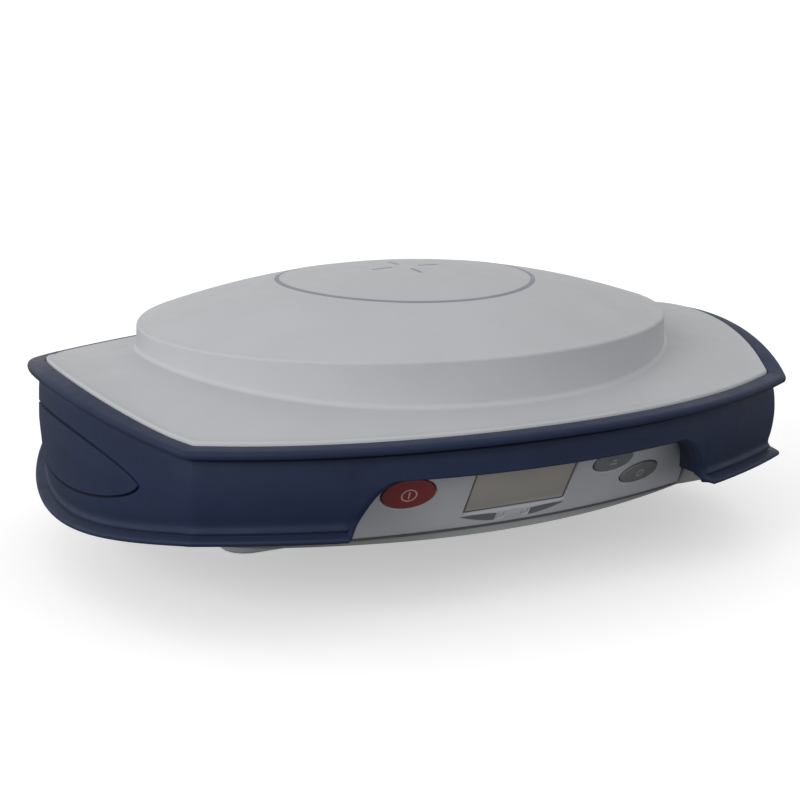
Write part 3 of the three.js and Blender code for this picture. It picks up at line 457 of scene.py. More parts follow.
def bumper_controls(outline):
    """Section points (inset, z) at every station, with the panel opening's hem worked in."""
    controls = np.zeros((len(outline.near), len(SECTION), 2))
    for j, (inset, level, up, _) in enumerate(SECTION):
        plan = outline.at(inset)
        controls[:, j, 0] = inset
        controls[:, j, 1] = level(plan[:, 0], plan[:, 1]) + up
    for i, (x, y) in enumerate(outline.near):
        if y > 0 or abs(x) > HEM_REACH_X:
            continue
        lip = lip_z(x, y)
        top = controls[i, WALL_TOP, 1]
        for j in range(WALL_TOP + 1, WALL_END + 1):
            foot = controls[i, WALL_END, 1]
            low = max(foot, opening_z(outline.at(controls[i, j, 0])[i, 0]) + HEM)
            z = top + (controls[i, j, 1] - top) / (foot - top) * (low - top)
            if low > foot:
                controls[i, j] = wall_inset_at(x, y, z), z
        for step, j in enumerate(range(WALL_END + 1, INNER_FOOT + 1)):
            edge = opening_z(outline.at(controls[i, j, 0])[i, 0])
            mix = min(max((edge - lip) / HEM_FADE, 0.0), 1.0)
            outer = wall_inset_at(x, y, max(edge, lip + LIP_HEIGHT))
            inset = BUMPER_INSIDE if j == INNER_FOOT else outer + HEM_INSETS[step]
            hem = np.array([inset, max(edge, lip) + HEM_RISES[step]])
            controls[i, j] = (1 - mix) * controls[i, j] + mix * hem
    return controls


def rounded_section(controls, radii):
    """Rounds every corner of a closed section at all stations at once."""
    def towards(neighbour):
        gap = np.roll(controls, neighbour, axis=1) - controls
        length = np.maximum(np.linalg.norm(gap, axis=2), 1e-6)
        return controls + gap * (np.minimum(radii, 0.48 * length) / length)[..., None]
    start, end = towards(1), towards(-1)
    points = []
    for t in np.linspace(0, 1, 4):
        points.append((1 - t) ** 2 * start + 2 * t * (1 - t) * controls + t ** 2 * end)
    return np.stack(points, axis=2).reshape(len(controls), -1, 2)


def opening_web(side):
    """Rubber web that runs back from the opening's round corner, close to the panel."""
    web = opening_prism(WEB_THICK, OPENING_TOP_Z + WEB_TOP_THICK, 20)
    cut(web, opening_prism(WEB_GROW, OPENING_TOP_Z, 10))
    inner, outer = sorted([side * WEB_INNER_X, side * WEB_OUTER_X])
    combine(web, block("web_end", inner, outer, -95, -50, WEB_FOOT_Z, 50), "INTERSECT")
    combine(web, panel_slab("web_reach", -10, 45, WEB_CLEAR, 40), "INTERSECT")
    inside_wall = [at_height(PLAIN.at(WEB_INSET), z) for z in (20.0, 60.0)]
    return combine(web, loft("web_room", inside_wall), "INTERSECT")


def make_bumper():
    section = rounded_section(bumper_controls(FINE), [point[3] for point in SECTION])
    corners = [section[:, j] for j in range(section.shape[1])]
    rings = [np.column_stack([FINE.at(corner[:, 0]), corner[:, 1]]) for corner in corners]
    bumper = loft("bumper_skin", rings, closed=True, smooth=38)
    for side in (-1, 1):
        cut(bumper, leaf_slab("leaf_pocket", side, *LEAF_POCKET))
        join(bumper, opening_web(side))
    return tidy_mesh(bumper, 38)


# ---- side inserts

LEAF_REACH, LEAF_Z, LEAF_UP, LEAF_DOWN = 47.0, 40.4, 8.9, 9.3
LEAF_BLUNT_UP, LEAF_BLUNT_DOWN, LEAF_BEVEL = 0.7, 0.62, 0.3
# Growth of the leaf's outline, and the depths into the wall between which the solid lies.
LEAF_POCKET, LEAF_INSERT = (0.8, -1.2, 2.8), (-0.15, -0.05, 1.5)


def side_wall_x(y, z, depth):
    """How far out the bumper's side wall lies at a place, less a depth."""
    x = math.sqrt((SIDE_RADIUS - 3) ** 2 - y ** 2) - SIDE_CENTRE
    inset = wall_inset_at(x, y, z) + depth
    return math.sqrt((SIDE_RADIUS - inset) ** 2 - y ** 2) - SIDE_CENTRE


def leaf_slab(name, side, grow, depth_out, depth_in):
    """A leaf-shaped slab that follows the bumper's side wall between two depths."""
    columns, rows = 81, 12
    ys = (LEAF_REACH + grow - 0.002) * np.sin(np.linspace(-math.pi / 2, math.pi / 2, columns))
    points = []
    for depth in (depth_out, depth_in):
        for y in ys:
            share = max(1 - (abs(y) / (LEAF_REACH + grow)) ** 2, 0.00001)
            lower = LEAF_Z - (LEAF_DOWN + grow) * share ** LEAF_BLUNT_DOWN
            upper = LEAF_Z + (LEAF_UP + grow) * share ** LEAF_BLUNT_UP
            points += [(side * side_wall_x(y, z, depth), y, z) for z in np.linspace(lower, upper, rows)]
    layer = columns * rows
    grid = np.arange(layer).reshape(columns, rows)
    faces = []
    for a in grid[:-1, :-1].ravel().tolist():
        b = layer + a
        faces += [(a, a + rows, a + rows + 1, a + 1), (b, b + 1, b + rows + 1, b + rows)]
    rim = np.concatenate([grid[:, 0], grid[-1, 1:], grid[-2::-1, -1], grid[0, -2:0:-1]]).tolist()
    for a, b in zip(rim, rim[1:] + rim[:1]):
        faces.append((a, layer + a, layer + b, b))
    return new_object(name, points, faces)


def make_side_insert(name, side):
    insert = leaf_slab(name + "_skin", side, *LEAF_INSERT)
    apply_modifier(
        insert, "BEVEL", width=LEAF_BEVEL * MM, segments=2, limit_method="ANGLE",
        angle_limit=math.radians(50), harden_normals=False,
    )
    return tidy_mesh(insert, 50)


# ---- places on the bent panel


def panel_point(x, up, out):
    """Arc length along the panel, distance up its slope and distance out of it, as x, y and z."""
    angle = x / PANEL_RADIUS
    reach = PANEL_RADIUS + up * math.sin(PANEL_LEAN) + out * math.cos(PANEL_LEAN)
    return (
        reach * math.sin(angle),
        PANEL_CENTRE_Y - reach * math.cos(angle),
        PANEL_EDGE_Z + up * math.cos(PANEL_LEAN) - out * math.sin(PANEL_LEAN),
    )


def on_panel(points, x, up):
    """Points given in the flat frame of one place on the panel, as x, y and z."""
    angle = x / PANEL_RADIUS
    radial = np.array([math.sin(angle), -math.cos(angle), 0])
    along = np.array([math.cos(angle), math.sin(angle), 0])
    upward = np.array([0, 0, 1])
    slope = radial * math.sin(PANEL_LEAN) + upward * math.cos(PANEL_LEAN)
    normal = radial * math.cos(PANEL_LEAN) - upward * math.sin(PANEL_LEAN)
    points = np.asarray(points, float)
    return np.array(panel_point(x, up, 0)) + points @ np.array([along, slope, normal])


def oval(rx, ry):
    def outline(grow):
        turn = full_turn(56)
        return np.column_stack([(rx + grow) * np.cos(turn), (ry + grow) * np.sin(turn)])
    return outline


def round_rect(width, height, radius, steps=5):
    def outline(grow):
        corner = max(radius + grow, 0.05)
        loop = rounded_loop(0, 0, width + 2 * grow, height + 2 * grow, corner, 0, steps)
        return np.array(loop)[:, :2]
    return outline


def panel_solid(name, outline, stations, x, up, smooth=35, closed=False):
    """A solid on the panel: an outline swept through stations of (distance out, growth)."""
    rings = []
    for out, grow in stations:
        flat = outline(grow)
        rings.append(on_panel(np.column_stack([flat, np.full(len(flat), out)]), x, up))
    return loft(name, rings, closed, smooth=smooth)


def hole_tool(outline, x, up, grow, flare=0.45):
    """A tool that cuts a hole through the panel and rounds its rim."""
    rim = [(-down, grow + out) for out, down in rounding(flare, 0.25, 4)]
    stations = [(-5.0, grow), (-flare, grow), *rim, (1.0, grow + flare)]
    return panel_solid("hole", outline, stations, x, up)


def bent_slab(name, edges, back, front, ease=0.0):
    """A slab bent like the panel from (x, low, high) columns, its front rim eased."""
    rim = [(up, front - down) for up, down in rounding(ease, 0.33, 3)]
    rings = []
    for x, low, high in edges:
        face = [(low, back), (low, front - ease), *[(low + up, out) for up, out in rim]]
        face += [(up, front) for up in np.linspace(low + ease, high - ease, 12)[1:-1]]
        face += [*[(high - up, out) for up, out in rim[::-1]], (high, front - ease), (high, back)]
        rings.append([panel_point(x, up, out) for up, out in face])
    return loft(name, rings)


def panel_slab(name, low, high, back, front):
    """A slab bent like the panel and wider than its opening, used as a tool."""
    return bent_slab(name, [(x, low, high) for x in np.linspace(-78, 78, 79)], back, front)


def opening_prism(grow, top, bottom):
    """The shape of the panel opening seen from the front, run back through the front wall."""
    curve_x, curve_z = opening_curve(top, 13)
    half = [(OPENING_FOOT_X + grow, bottom)] + list(zip(curve_x[::-1] + grow, curve_z[::-1]))
    outline = half + [(-x, z) for x, z in half[::-1]]
    return loft("opening", [[(x, y, z) for x, z in outline] for y in (-130, -30)])


# ---- control panel

# The panel's slanting ends, as places along the arc and heights up the slope.
PANEL_END_X = [46.0, 52.9, 58.4, 63.9, 66.0]
PANEL_END_UP = [25.0, 20.0, 14.3, 6.4, 1.2]


def make_front_panel():
    columns = []
    for x in np.linspace(-PANEL_END_X[-1], PANEL_END_X[-1], 133):
        high = np.interp(abs(x), PANEL_END_X, PANEL_END_UP)
        columns.append((x, min(PANEL_TRIM, high / 3), min(high, PANEL_HEIGHT)))
    panel = bent_slab("front_panel_skin", columns, -PANEL_THICK, 0, 0.35)
    for x, up, rx, ry in BUTTONS.values():
        cut(panel, hole_tool(oval(rx, ry), x, up, GAP))
    display, light = round_rect(DISPLAY_WIDTH, DISPLAY_HEIGHT, 0.9), round_rect(LIGHT_SIZE, LIGHT_SIZE, 0.5)
    cut(panel, hole_tool(display, 0, DISPLAY_UP, 0.1, flare=1.0))
    for side in (-1, 1):
        cut(panel, hole_tool(light, side * LIGHT_X, LIGHT_UP, 0.1, flare=0.1))
    return tidy_mesh(panel, 40)


def make_panel_seam():
    """Dark sealing strip in the gap under the panel's lower edge."""
    reach = PANEL_END_X[-2]
    columns = [(x, -0.7, 0.7) for x in np.linspace(-reach, reach, 97)]
    return bent_slab("panel_seam", columns, -1.6, -0.4, 0.2)


BUTTON_RIM = 0.35
PRINT_THICK, PRINT_OUT, PRINT_WIDTH = 0.08, 0.55, 0.4
MARK_INNER_X, MARK_OUTER_X = 5.5, 16.8


def leaf_mark(name, side):
    """Dark leaf beside a status light, set just proud of the panel."""
    shares = np.linspace(0, 1, 15)
    places = [side * (MARK_INNER_X + (MARK_OUTER_X - MARK_INNER_X) * t) for t in shares]
    points = [(x, LIGHT_UP - 1.5 + 2.9 * t ** 1.7) for x, t in zip(places, shares)]
    for x, t in list(zip(places, shares))[-2::-1]:
        points.append((x, LIGHT_UP + 1.2 + 0.2 * t + 0.3 * math.sin(math.pi * t)))
    rings = [[panel_point(x, up, out) for x, up in points] for out in (-0.1, 0.04)]
    return loft(name, rings)


def make_button(name):
    x, up, rx, ry = BUTTONS[name]
    stations = [(-3.3, -0.1), (-0.4, -0.1), (-0.1, 0.0)]
    stations += [(BUTTON_RIM * (1 - down), -0.55 * inward) for inward, down in rounding(1, 0.2, 5)]
    for share in np.linspace(0.75, 0.1, 6):
        stations.append((BUTTON_RIM + 0.15 * (1 - (share / 0.85) ** 2), -(1 - share) * ry))
    return panel_solid(name + "_skin", oval(rx, ry), stations, x, up, smooth=60)


def button_ring(name, button, radius):
    """A printed ring in the middle of a button."""
    out, inner = PRINT_OUT - 0.01, radius - PRINT_WIDTH
    low = out - PRINT_THICK
    rings = []
    for reach, level in ((radius, low), (radius, out), (inner, out), (inner, low)):
        rings.append(on_panel(circle(0, 0, reach, level, 40), *BUTTONS[button][:2]))
    return loft(name, rings, closed=True)


def button_bar(name, button, width, height, up=0.0):
    """A printed bar on a button."""
    def outline(grow):
        return round_rect(width, height, min(width, height) / 2.1, 3)(grow) + np.array((0.0, up))
    return panel_solid(name, outline, [(PRINT_OUT - PRINT_THICK, 0), (PRINT_OUT, 0)], *BUTTONS[button][:2])


# ---- lower housing


def bowl(name, inset, raised, top):
    edge = at_height(PLAIN.at(inset), lip_z)
    belly = oval_ring(PLAIN, BELLY_RX - raised, BELLY_RY - raised, BELLY_Z)
    rings = []
    for share in np.linspace(1, 0, 15):
        ring = edge * (1 - share) + belly * share
        ring[:, 2] += raised - BOWL_BULGE * math.sin(math.pi * share)
        rings.append(ring)
    rings.append(at_height(PLAIN.at(inset), top))
    return loft(name, rings)


def pod(x, low, high, grow=0.0, low_round=0.0):
    start = POD_DRAFT * low / POD_TOP + grow
    drift = POD_DRAFT * (high - low) / POD_TOP
    return rounded_block(
        "pod", x, POD_Y, POD_WIDTH + 2 * start, POD_LENGTH + 2 * start, POD_ROUND + start,
        low, high, low_round=low_round, draft=drift,
    )


def recess(grow):
    """The hollow of the control panel, grown by a wall thickness for its lining."""
    room = panel_slab("recess", -0.8 - grow, 60, -PANEL_THICK - GAP - grow, 60)
    return combine(room, opening_prism(POCKET_GROW + grow, RECESS_TOP + 0.8 * grow, -20), "INTERSECT")


HOUSING_SCREWS = [(84, 52), (-84, 52), (84, -52), (-84, -52), (98, 0), (-98, 0)]
MODULE_SCREWS = [(POD_X - 13, 48), (POD_X + 13, 12)]
HEAD_HEIGHT, HEAD_R, SHAFT_R = 1.8, 2.8, 1.5
POST_R, HEAD_HOLE_R, SHAFT_HOLE_R, POST_SPLIT_Z = 3.6, 3.1, 1.8, 36
SOCKETS = {"power": -24, "serial": 0, "usb": 24}
SOCKET_PINS = {"power": 2, "serial": 7, "usb": 5}
SOCKET_Y, SOCKET_R, SOCKET_MOUTH_Z, SOCKET_TOP_Z, SOCKET_FLOOR_Z = 76.5, 6, 20, 36, 29
PIN_TIP_Z, PIN_R, PIN_CIRCLE_R = 22.8, 0.42, 2.4
# Place, radius, lowest point and seat of each aerial socket.
AERIALS = {
    "radio_aerial_socket": (POD_X, 61, 4.6, 3.5, 14.3),
    "modem_aerial_socket": (0, 50, 3.4, 5.5, 12.6),
}
AERIAL_NECK = 0.6
CAP_R, CAP_THICK, CAP_HINGE_Y, CAP_HINGE_Z = SOCKET_R + 0.6, 2, 68.5, 18.9
STRAP_HALF, STRAP_REACH, LUG_THICK = 2.5, 4, 2.3
MODULE_TOP, MODULE_REAR, RIB_START, RIB_PITCH = 13.7, 55, 18, 2.8
MODULE_Y, MODULE_LENGTH = (POD_FRONT + MODULE_REAR) / 2, MODULE_REAR - POD_FRONT
BAY_TOP, BAY_FRONT, BAY_REAR, BAY_WIDTH = 22.8, 7, 56, 32
BAY_Y, BAY_LENGTH = (BAY_FRONT + BAY_REAR) / 2, BAY_REAR - BAY_FRONT
GRIP_START, GRIP_PITCH = 10.2, 2.6
DOOR_WIDTH, DOOR_FRONT, DOOR_REAR, DOOR_LIFT, DOOR_TOP, DOOR_SCREW_Y = 34, 5.2, 64.8, 0.4, 2.6, 60.8
DOOR_Y, DOOR_LENGTH = (DOOR_FRONT + DOOR_REAR) / 2, DOOR_REAR - DOOR_FRONT
BOSS_R, BOSS_Z, INSERT_R, INSERT_TOP, THREAD_R = 16, 3, 11, 19, 7.4


def screw_head_z(number):
    """Lowest point of a housing screw's head, from its CAD node."""
    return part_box(f"housing_screw_{number + 1}")[0][2] / MM


def housing_room():
    """The room inside the housing, clear of the recess, the two pods and the boss."""
    wall = WALL - GAP
    return cut(
        bowl("inside", BODY_INSIDE, WALL, 70),
        recess(wall),
        pod(-POD_X, 0, BAY_TOP + wall),
        pod(POD_X, 0, MODULE_TOP + GAP + wall, grow=wall),
        disc("boss_inside", 0, 0, 0, INSERT_TOP + GAP + wall, BOSS_R - 1),
    )


def cut_underside(housing):
    """Room for the battery, its door, the pole insert, the contacts and the module's plug."""
    seat_width, seat_length = DOOR_WIDTH + 2 * GAP, DOOR_LENGTH + 2 * GAP
    cut(
        housing,
        rounded_block("bay", -POD_X, BAY_Y, BAY_WIDTH, BAY_LENGTH, 1.5, -1, BAY_TOP),
        rounded_block("door_seat", -POD_X, DOOR_Y, seat_width, seat_length, 4, -1, DOOR_TOP + 0.9),
        disc("insert_hole", 0, 0, 0, INSERT_TOP + GAP, INSERT_R + GAP, 72),
        disc("door_screw_hole", -POD_X, DOOR_SCREW_Y, 0, 12, 2.4, 24),
        block("contact_slot", -POD_X - 8, -POD_X + 8, 40, 46, BAY_TOP - 1, BAY_TOP + 6),
        block("plug_slot", POD_X - 6, POD_X + 6, 27, 33, MODULE_TOP - 1, MODULE_TOP + 8),
    )


def cut_recess_floor(housing):
    """Holes behind the buttons, the display and the status lights."""
    holes = [(oval(rx, ry), GAP, x, up) for x, up, rx, ry in BUTTONS.values()]
    holes.append((round_rect(DISPLAY_WIDTH - 2, DISPLAY_HEIGHT - 2, 0.5), 0, 0, DISPLAY_UP))
    light = round_rect(LIGHT_SIZE, LIGHT_SIZE, 0.3)
    holes += [(light, GAP, side * LIGHT_X, LIGHT_UP) for side in (-1, 1)]
    for outline, grow, x, up in holes:
        cut(housing, panel_solid("hole", outline, [(-7, grow), (5, grow)], x, up))


def make_lower_housing():
    boss = [(0, BOSS_Z), (BOSS_R - 0.8, BOSS_Z), (BOSS_R, BOSS_Z + 0.8), (BOSS_R, POD_TOP), (0, POD_TOP)]
    housing = join(
        bowl("lower_housing_skin", BODY_INSET, 0, RIM_Z),
        pod(-POD_X, 0, POD_TOP, low_round=1.0),
        pod(POD_X, MODULE_TOP + GAP, POD_TOP),
        turned("boss", 0, 0, boss, 72),
    )
    cut(housing, pod(POD_X, -1, MODULE_TOP + GAP, grow=GAP), recess(0), housing_room())
    cut_underside(housing)
    cut_recess_floor(housing)
    for i, (x, y) in enumerate(HOUSING_SCREWS):
        seat = screw_head_z(i) + HEAD_HEIGHT + GAP
        join(housing, disc("post", x, y, seat - 0.2, POST_SPLIT_Z - GAP, POST_R, 24))
        cut(housing, disc("hole", x, y, 0, seat, HEAD_HOLE_R, 32))
        cut(housing, disc("hole", x, y, 0, 40, SHAFT_HOLE_R, 20))
    rear = CAP_HINGE_Y - GAP
    for x in SOCKETS.values():
        sides = x - STRAP_HALF, x + STRAP_HALF
        join(housing, block("lug", *sides, rear - LUG_THICK, rear, CAP_HINGE_Z + GAP, 25))
        cut(housing, disc("hole", x, SOCKET_Y, 0, 40, SOCKET_R + GAP, 40))
    for x, y, radius, _, _ in AERIALS.values():
        cut(housing, disc("hole", x, y, 0, 24, AERIAL_NECK * radius + GAP, 24))
    for x, y in MODULE_SCREWS:
        cut(housing, disc("hole", x, y, MODULE_TOP - 1, 20, SHAFT_HOLE_R, 20))
    return tidy_mesh(housing, 35)


# ---- parts on the underside


def make_battery_door():
    rim = DOOR_LIFT + 1.2
    seat = [(0, 0), (4.9, 0), (4.9, DOOR_LIFT), (4.4, DOOR_LIFT + 0.4), (4.4, rim), (0, rim)]
    door = cut(
        rounded_block(
            "battery_door_skin", -POD_X, DOOR_Y, DOOR_WIDTH, DOOR_LENGTH, 3.7, DOOR_LIFT, DOOR_TOP,
            low_round=0.5, high_round=0.15,
        ),
        turned("screw_seat", -POD_X, DOOR_SCREW_Y, seat, 40),
        disc("screw_hole", -POD_X, DOOR_SCREW_Y, 0, 5, 2.1, 24),
    )
    for i in range(6):
        y = GRIP_START + GRIP_PITCH * i
        cut(door, rounded_block("grip_groove", -POD_X, y, 20, 1.2, 0.58, 0, DOOR_LIFT + 0.5))
    return tidy_mesh(door, 35)


def screw(name, x, y, low, head_height, head_radius, shaft_radius, top, cross=True):
    """A pan head screw seen from below, with a cross or a coin slot in its head."""
    ease = 0.35 * head_height
    profile = [
        (0, low), (head_radius - 2 * ease, low), (head_radius - 0.6 * ease, low + 0.35 * ease),
        (head_radius, low + ease), (head_radius, low + head_height), (shaft_radius, low + head_height),
        (shaft_radius, top - 0.4), (shaft_radius - 0.4, top), (0, top),
    ]
    part = turned(name, x, y, profile, 40)
    arm = 0.62 * head_radius
    slots = [(arm, 0.35), (0.35, arm)] if cross else [(2.9, 0.6)]
    for across, along in slots:
        sides = x - across, x + across, y - along, y + along
        cut(part, block("slot", *sides, low - 1, low + 0.6 * head_height))
    return tidy_mesh(part, 35)


def make_radio_module():
    module = rounded_block(
        "radio_module_skin", POD_X, MODULE_Y, POD_WIDTH, MODULE_LENGTH, POD_ROUND, 0, MODULE_TOP,
        low_round=1.0, high_round=0.3,
    )
    for i in range(5):
        cut(module, rounded_block("rib_groove", POD_X, RIB_START + RIB_PITCH * i, 22, 1.3, 0.6, -1, 0.45))
    join(module, block("plug", POD_X - 5.5, POD_X + 5.5, 27.5, 32.5, MODULE_TOP - 1, MODULE_TOP + 5))
    rim = [(0, -1), (POST_R, -1), (HEAD_HOLE_R, 0.5), (HEAD_HOLE_R, 3), (0, 3)]
    for x, y in MODULE_SCREWS:
        cut(module, turned("head_hole", x, y, rim, 32))
        cut(module, disc("hole", x, y, -1, MODULE_TOP + 1, SHAFT_HOLE_R, 20))
    return tidy_mesh(module, 35)


def make_socket(name, x):
    inside, ease = SOCKET_R - 1.2, 0.4
    mouth, top = SOCKET_MOUTH_Z, SOCKET_TOP_Z
    profile = [(0, SOCKET_FLOOR_Z), (inside, SOCKET_FLOOR_Z), (inside, mouth + ease), (inside + 0.3, mouth)]
    profile += [(SOCKET_R - ease, mouth), (SOCKET_R, mouth + ease), (SOCKET_R, top - ease)]
    profile += [(SOCKET_R - ease, top), (0, top)]
    shell = turned(name + "_socket_skin", x, SOCKET_Y, profile, 56)
    rear = SOCKET_Y + inside
    join(shell, block("key", x - 0.7, x + 0.7, rear - 0.9, rear + 0.3, 21, SOCKET_FLOOR_Z + 0.2))
    return tidy_mesh(shell, 35)


def make_socket_pins(name, x):
    """The insulator on the floor of a socket with its ring of pins."""
    floor, base = SOCKET_FLOOR_Z, SOCKET_FLOOR_Z - 1.5
    insert = disc(name + "_socket_insert", x, SOCKET_Y, floor - 1.6, floor, SOCKET_R - 1.25, 40, 0.2)
    profile = [(0, PIN_TIP_Z), (0.25, PIN_TIP_Z + 0.05), (PIN_R, PIN_TIP_Z + 0.3), (PIN_R, base), (0, base)]
    count = SOCKET_PINS[name]
    pins = []
    for turn in full_turn(count) + math.pi / count:
        px, py = x + PIN_CIRCLE_R * math.cos(turn), SOCKET_Y + PIN_CIRCLE_R * math.sin(turn)
        pins.append(turned(name + "_socket_pins", px, py, profile, 16))
    return insert, merge(pins)


def make_cap(name, x):
    """A rubber dust cap with a grip rim and the strap it hinges on."""
    low = SOCKET_MOUTH_Z - GAP - CAP_THICK
    knurl = 0.14 * np.cos(24 * full_turn(96))
    rim = [(2.2, 0.35, 0), (1.6, 0.1, 0), (0.9, 0, 0.2), (0.3, 0.15, 0.6), (0.14, 0.5, 1)]
    rim += [(0.14, CAP_THICK - 0.5, 1), (0.3, CAP_THICK - 0.1, 0.5), (0.7, CAP_THICK, 0)]
    rings = []
    for inward, up, share in rim:
        rings.append(circle(x, SOCKET_Y, CAP_R - inward + share * knurl, low + up, 96))
    tips = ((x, SOCKET_Y, low + rim[0][1]), (x, SOCKET_Y, low + CAP_THICK))
    cap = loft(name + "_cap_skin", rings, tips=tips)
    half, ease = STRAP_HALF, 0.25
    rings = []
    for back, bottom, top in ((0, -1.1, 0), (0.7, -1.2, 0), (1.6, -0.9, -0.1), (STRAP_REACH, -1.0, 0)):
        base, roof = CAP_HINGE_Z + bottom, CAP_HINGE_Z + top
        face = [(ease - half, base), (half - ease, base), (half, base + ease), (half, roof - ease)]
        face += [(half - ease, roof), (ease - half, roof), (-half, roof - ease), (-half, base + ease)]
        rings.append([(x + across, CAP_HINGE_Y + back, z) for across, z in face])
    join(cap, loft("strap", rings))
    return tidy_mesh(cap, 40)


def threaded(radius, low, high, pitch, deep):
    """Profile points of a thread drawn as close V grooves, from low to high."""
    points = []
    for i in range(int((high - low) / pitch)):
        z, root = low + i * pitch, radius - deep
        points += [(root, z + 0.1 * pitch), (radius, z + 0.5 * pitch), (root, z + 0.9 * pitch)]
    return points


def make_aerial_socket(name, x, y, radius, low, seat):
    barrel, bore, neck = radius * 0.85, radius * 0.35, radius * AERIAL_NECK
    nut_low, nut_top = seat - 2, seat - GAP
    profile = [(0, low + 4), (bore, low + 4), (bore, low + 0.2), (bore + 0.2, low), (barrel - 0.5, low)]
    profile += threaded(barrel, low + 0.2, seat - 2.3, 0.8, 0.3)
    profile += [(barrel - 0.3, nut_low), (barrel - 0.3, nut_top), (neck, nut_top), (neck, 24), (0, 24)]
    socket = turned(name + "_skin", x, y, profile, 48)
    nut = [(0, nut_low), (radius - 0.3, nut_low), (radius, nut_low + 0.2), (radius, nut_top), (0, nut_top)]
    join(socket, turned("nut", x, y, nut, 6))
    cut(socket, disc("bore", x, y, low - 1, low + 4, bore, 32))
    return tidy_mesh(socket, 35)


def make_pole_insert():
    low, high, ease = BOSS_Z + 0.2, INSERT_TOP, 0.4
    bore_top = high - 2.5
    profile = [(0, bore_top), (THREAD_R, bore_top)]
    profile += threaded(THREAD_R + 0.8, low + 0.6, bore_top - ease, 2.31, 0.8)[::-1]
    profile += [(THREAD_R + 0.5, low), (INSERT_R - ease, low), (INSERT_R, low + ease)]
    profile += [(INSERT_R, high - ease), (INSERT_R - ease, high), (0, high)]
    return turned("pole_insert_skin", 0, 0, profile, 72)


CROWN_RING_R, CROWN_RING_WIDTH = 40.0, 1.4
TICK_INNER, TICK_OUTER, TICK_HALF = 4.5, 11, 0.55


def make_crown_mark():
    """A plain ring with four ticks on the crown, for the aerial's centre line."""
    def crown(x, y, out):
        return HEIGHT - CROWN_RISE * ((x / DOME_RX) ** 2 + (y / DOME_RY) ** 2) + out
    inner = CROWN_RING_R - CROWN_RING_WIDTH
    rings = []
    for radius, out in ((CROWN_RING_R, -0.1), (CROWN_RING_R, 0.05), (inner, 0.05), (inner, -0.1)):
        ring = circle(0, 0, radius, 0, 180)
        ring[:, 2] = crown(ring[:, 0], ring[:, 1], out)
        rings.append(ring)
    pieces = [loft("crown_mark", rings, closed=True)]
    for angle in full_turn(4):
        along = np.array([math.cos(angle), math.sin(angle)])
        across = np.array([-along[1], along[0]])
        rings = []
        for reach in np.linspace(TICK_INNER, TICK_OUTER, 8):
            corners = []
            for side, out in ((-TICK_HALF, -0.1), (TICK_HALF, -0.1), (TICK_HALF, 0.04), (-TICK_HALF, 0.04)):
                x, y = along * reach + across * side
                corners.append((x, y, crown(x, y, out)))
            rings.append(corners)
        pieces.append(loft("tick", rings))
    return merge(pieces)


# ---- materials

GRAIN_DEPTH = 0.00006


def linear(code):
    """Linear colour from an sRGB hex code."""
    values = [int(code[i:i + 2], 16) / 255 for i in (0, 2, 4)]
    return [v / 12.92 if v <= 0.04045 else ((v + 0.055) / 1.055) ** 2.4 for v in values]


def fill(node, values):
    """Sets inputs of a shader node by name."""
    for name, value in values.items():
        node.inputs[name].default_value = value


def map_range(nodes, start, end, low, high):
    node = nodes.new("ShaderNodeMapRange")
    fill(node, {"From Min": start, "From Max": end, "To Min": low, "To Max": high})
    return node


def surface(
    name, colour, roughness, metallic=0.0, specular=0.5, coat=0.0, sheen=0.0,
    mottle=0.05, mottle_scale=55.0, rough_spread=0.06, grain=0.12, grain_scale=2200.0,
):
    """Moulded or metal surface: mottled colour, uneven roughness and a fine grain in the normal."""
    material = bpy.data.materials.new(name)
    material.use_nodes = True
    nodes, links = material.node_tree.nodes, material.node_tree.links
    shader = nodes["Principled BSDF"]
    fill(shader, {
        "Metallic": metallic, "Specular IOR Level": specular, "IOR": 1.5,
        "Coat Weight": coat, "Coat Roughness": 0.08, "Sheen Weight": sheen,
    })
    place = nodes.new("ShaderNodeTexCoord")

    def noise(scale, detail):
        node = nodes.new("ShaderNodeTexNoise")
        fill(node, {"Scale": scale, "Detail": detail, "Roughness": 0.55})
        links.new(place.outputs["Object"], node.inputs["Vector"])
        return node.outputs["Fac"]

    def spread(source, low, high):
        node = map_range(nodes, 0.3, 0.7, low, high)
        links.new(source, node.inputs["Value"])
        return node.outputs["Result"]

    base = linear(colour)
    mix = nodes.new("ShaderNodeMix")
    mix.data_type = "RGBA"
    for side, share in (("A", 1 - mottle), ("B", 1 + mottle)):
        mix.inputs[side].default_value = (*[min(v * share, 1) for v in base], 1)
    links.new(spread(noise(mottle_scale, 6), 0, 1), mix.inputs["Factor"])
    links.new(mix.outputs["Result"], shader.inputs["Base Color"])
    worn = spread(noise(mottle_scale * 3.1, 4), roughness - rough_spread, roughness + rough_spread)
    links.new(worn, shader.inputs["Roughness"])
    bump = nodes.new("ShaderNodeBump")
    fill(bump, {"Strength": grain, "Distance": GRAIN_DEPTH})
    links.new(noise(grain_scale, 3), bump.inputs["Height"])
    links.new(bump.outputs["Normal"], shader.inputs["Normal"])
    return material


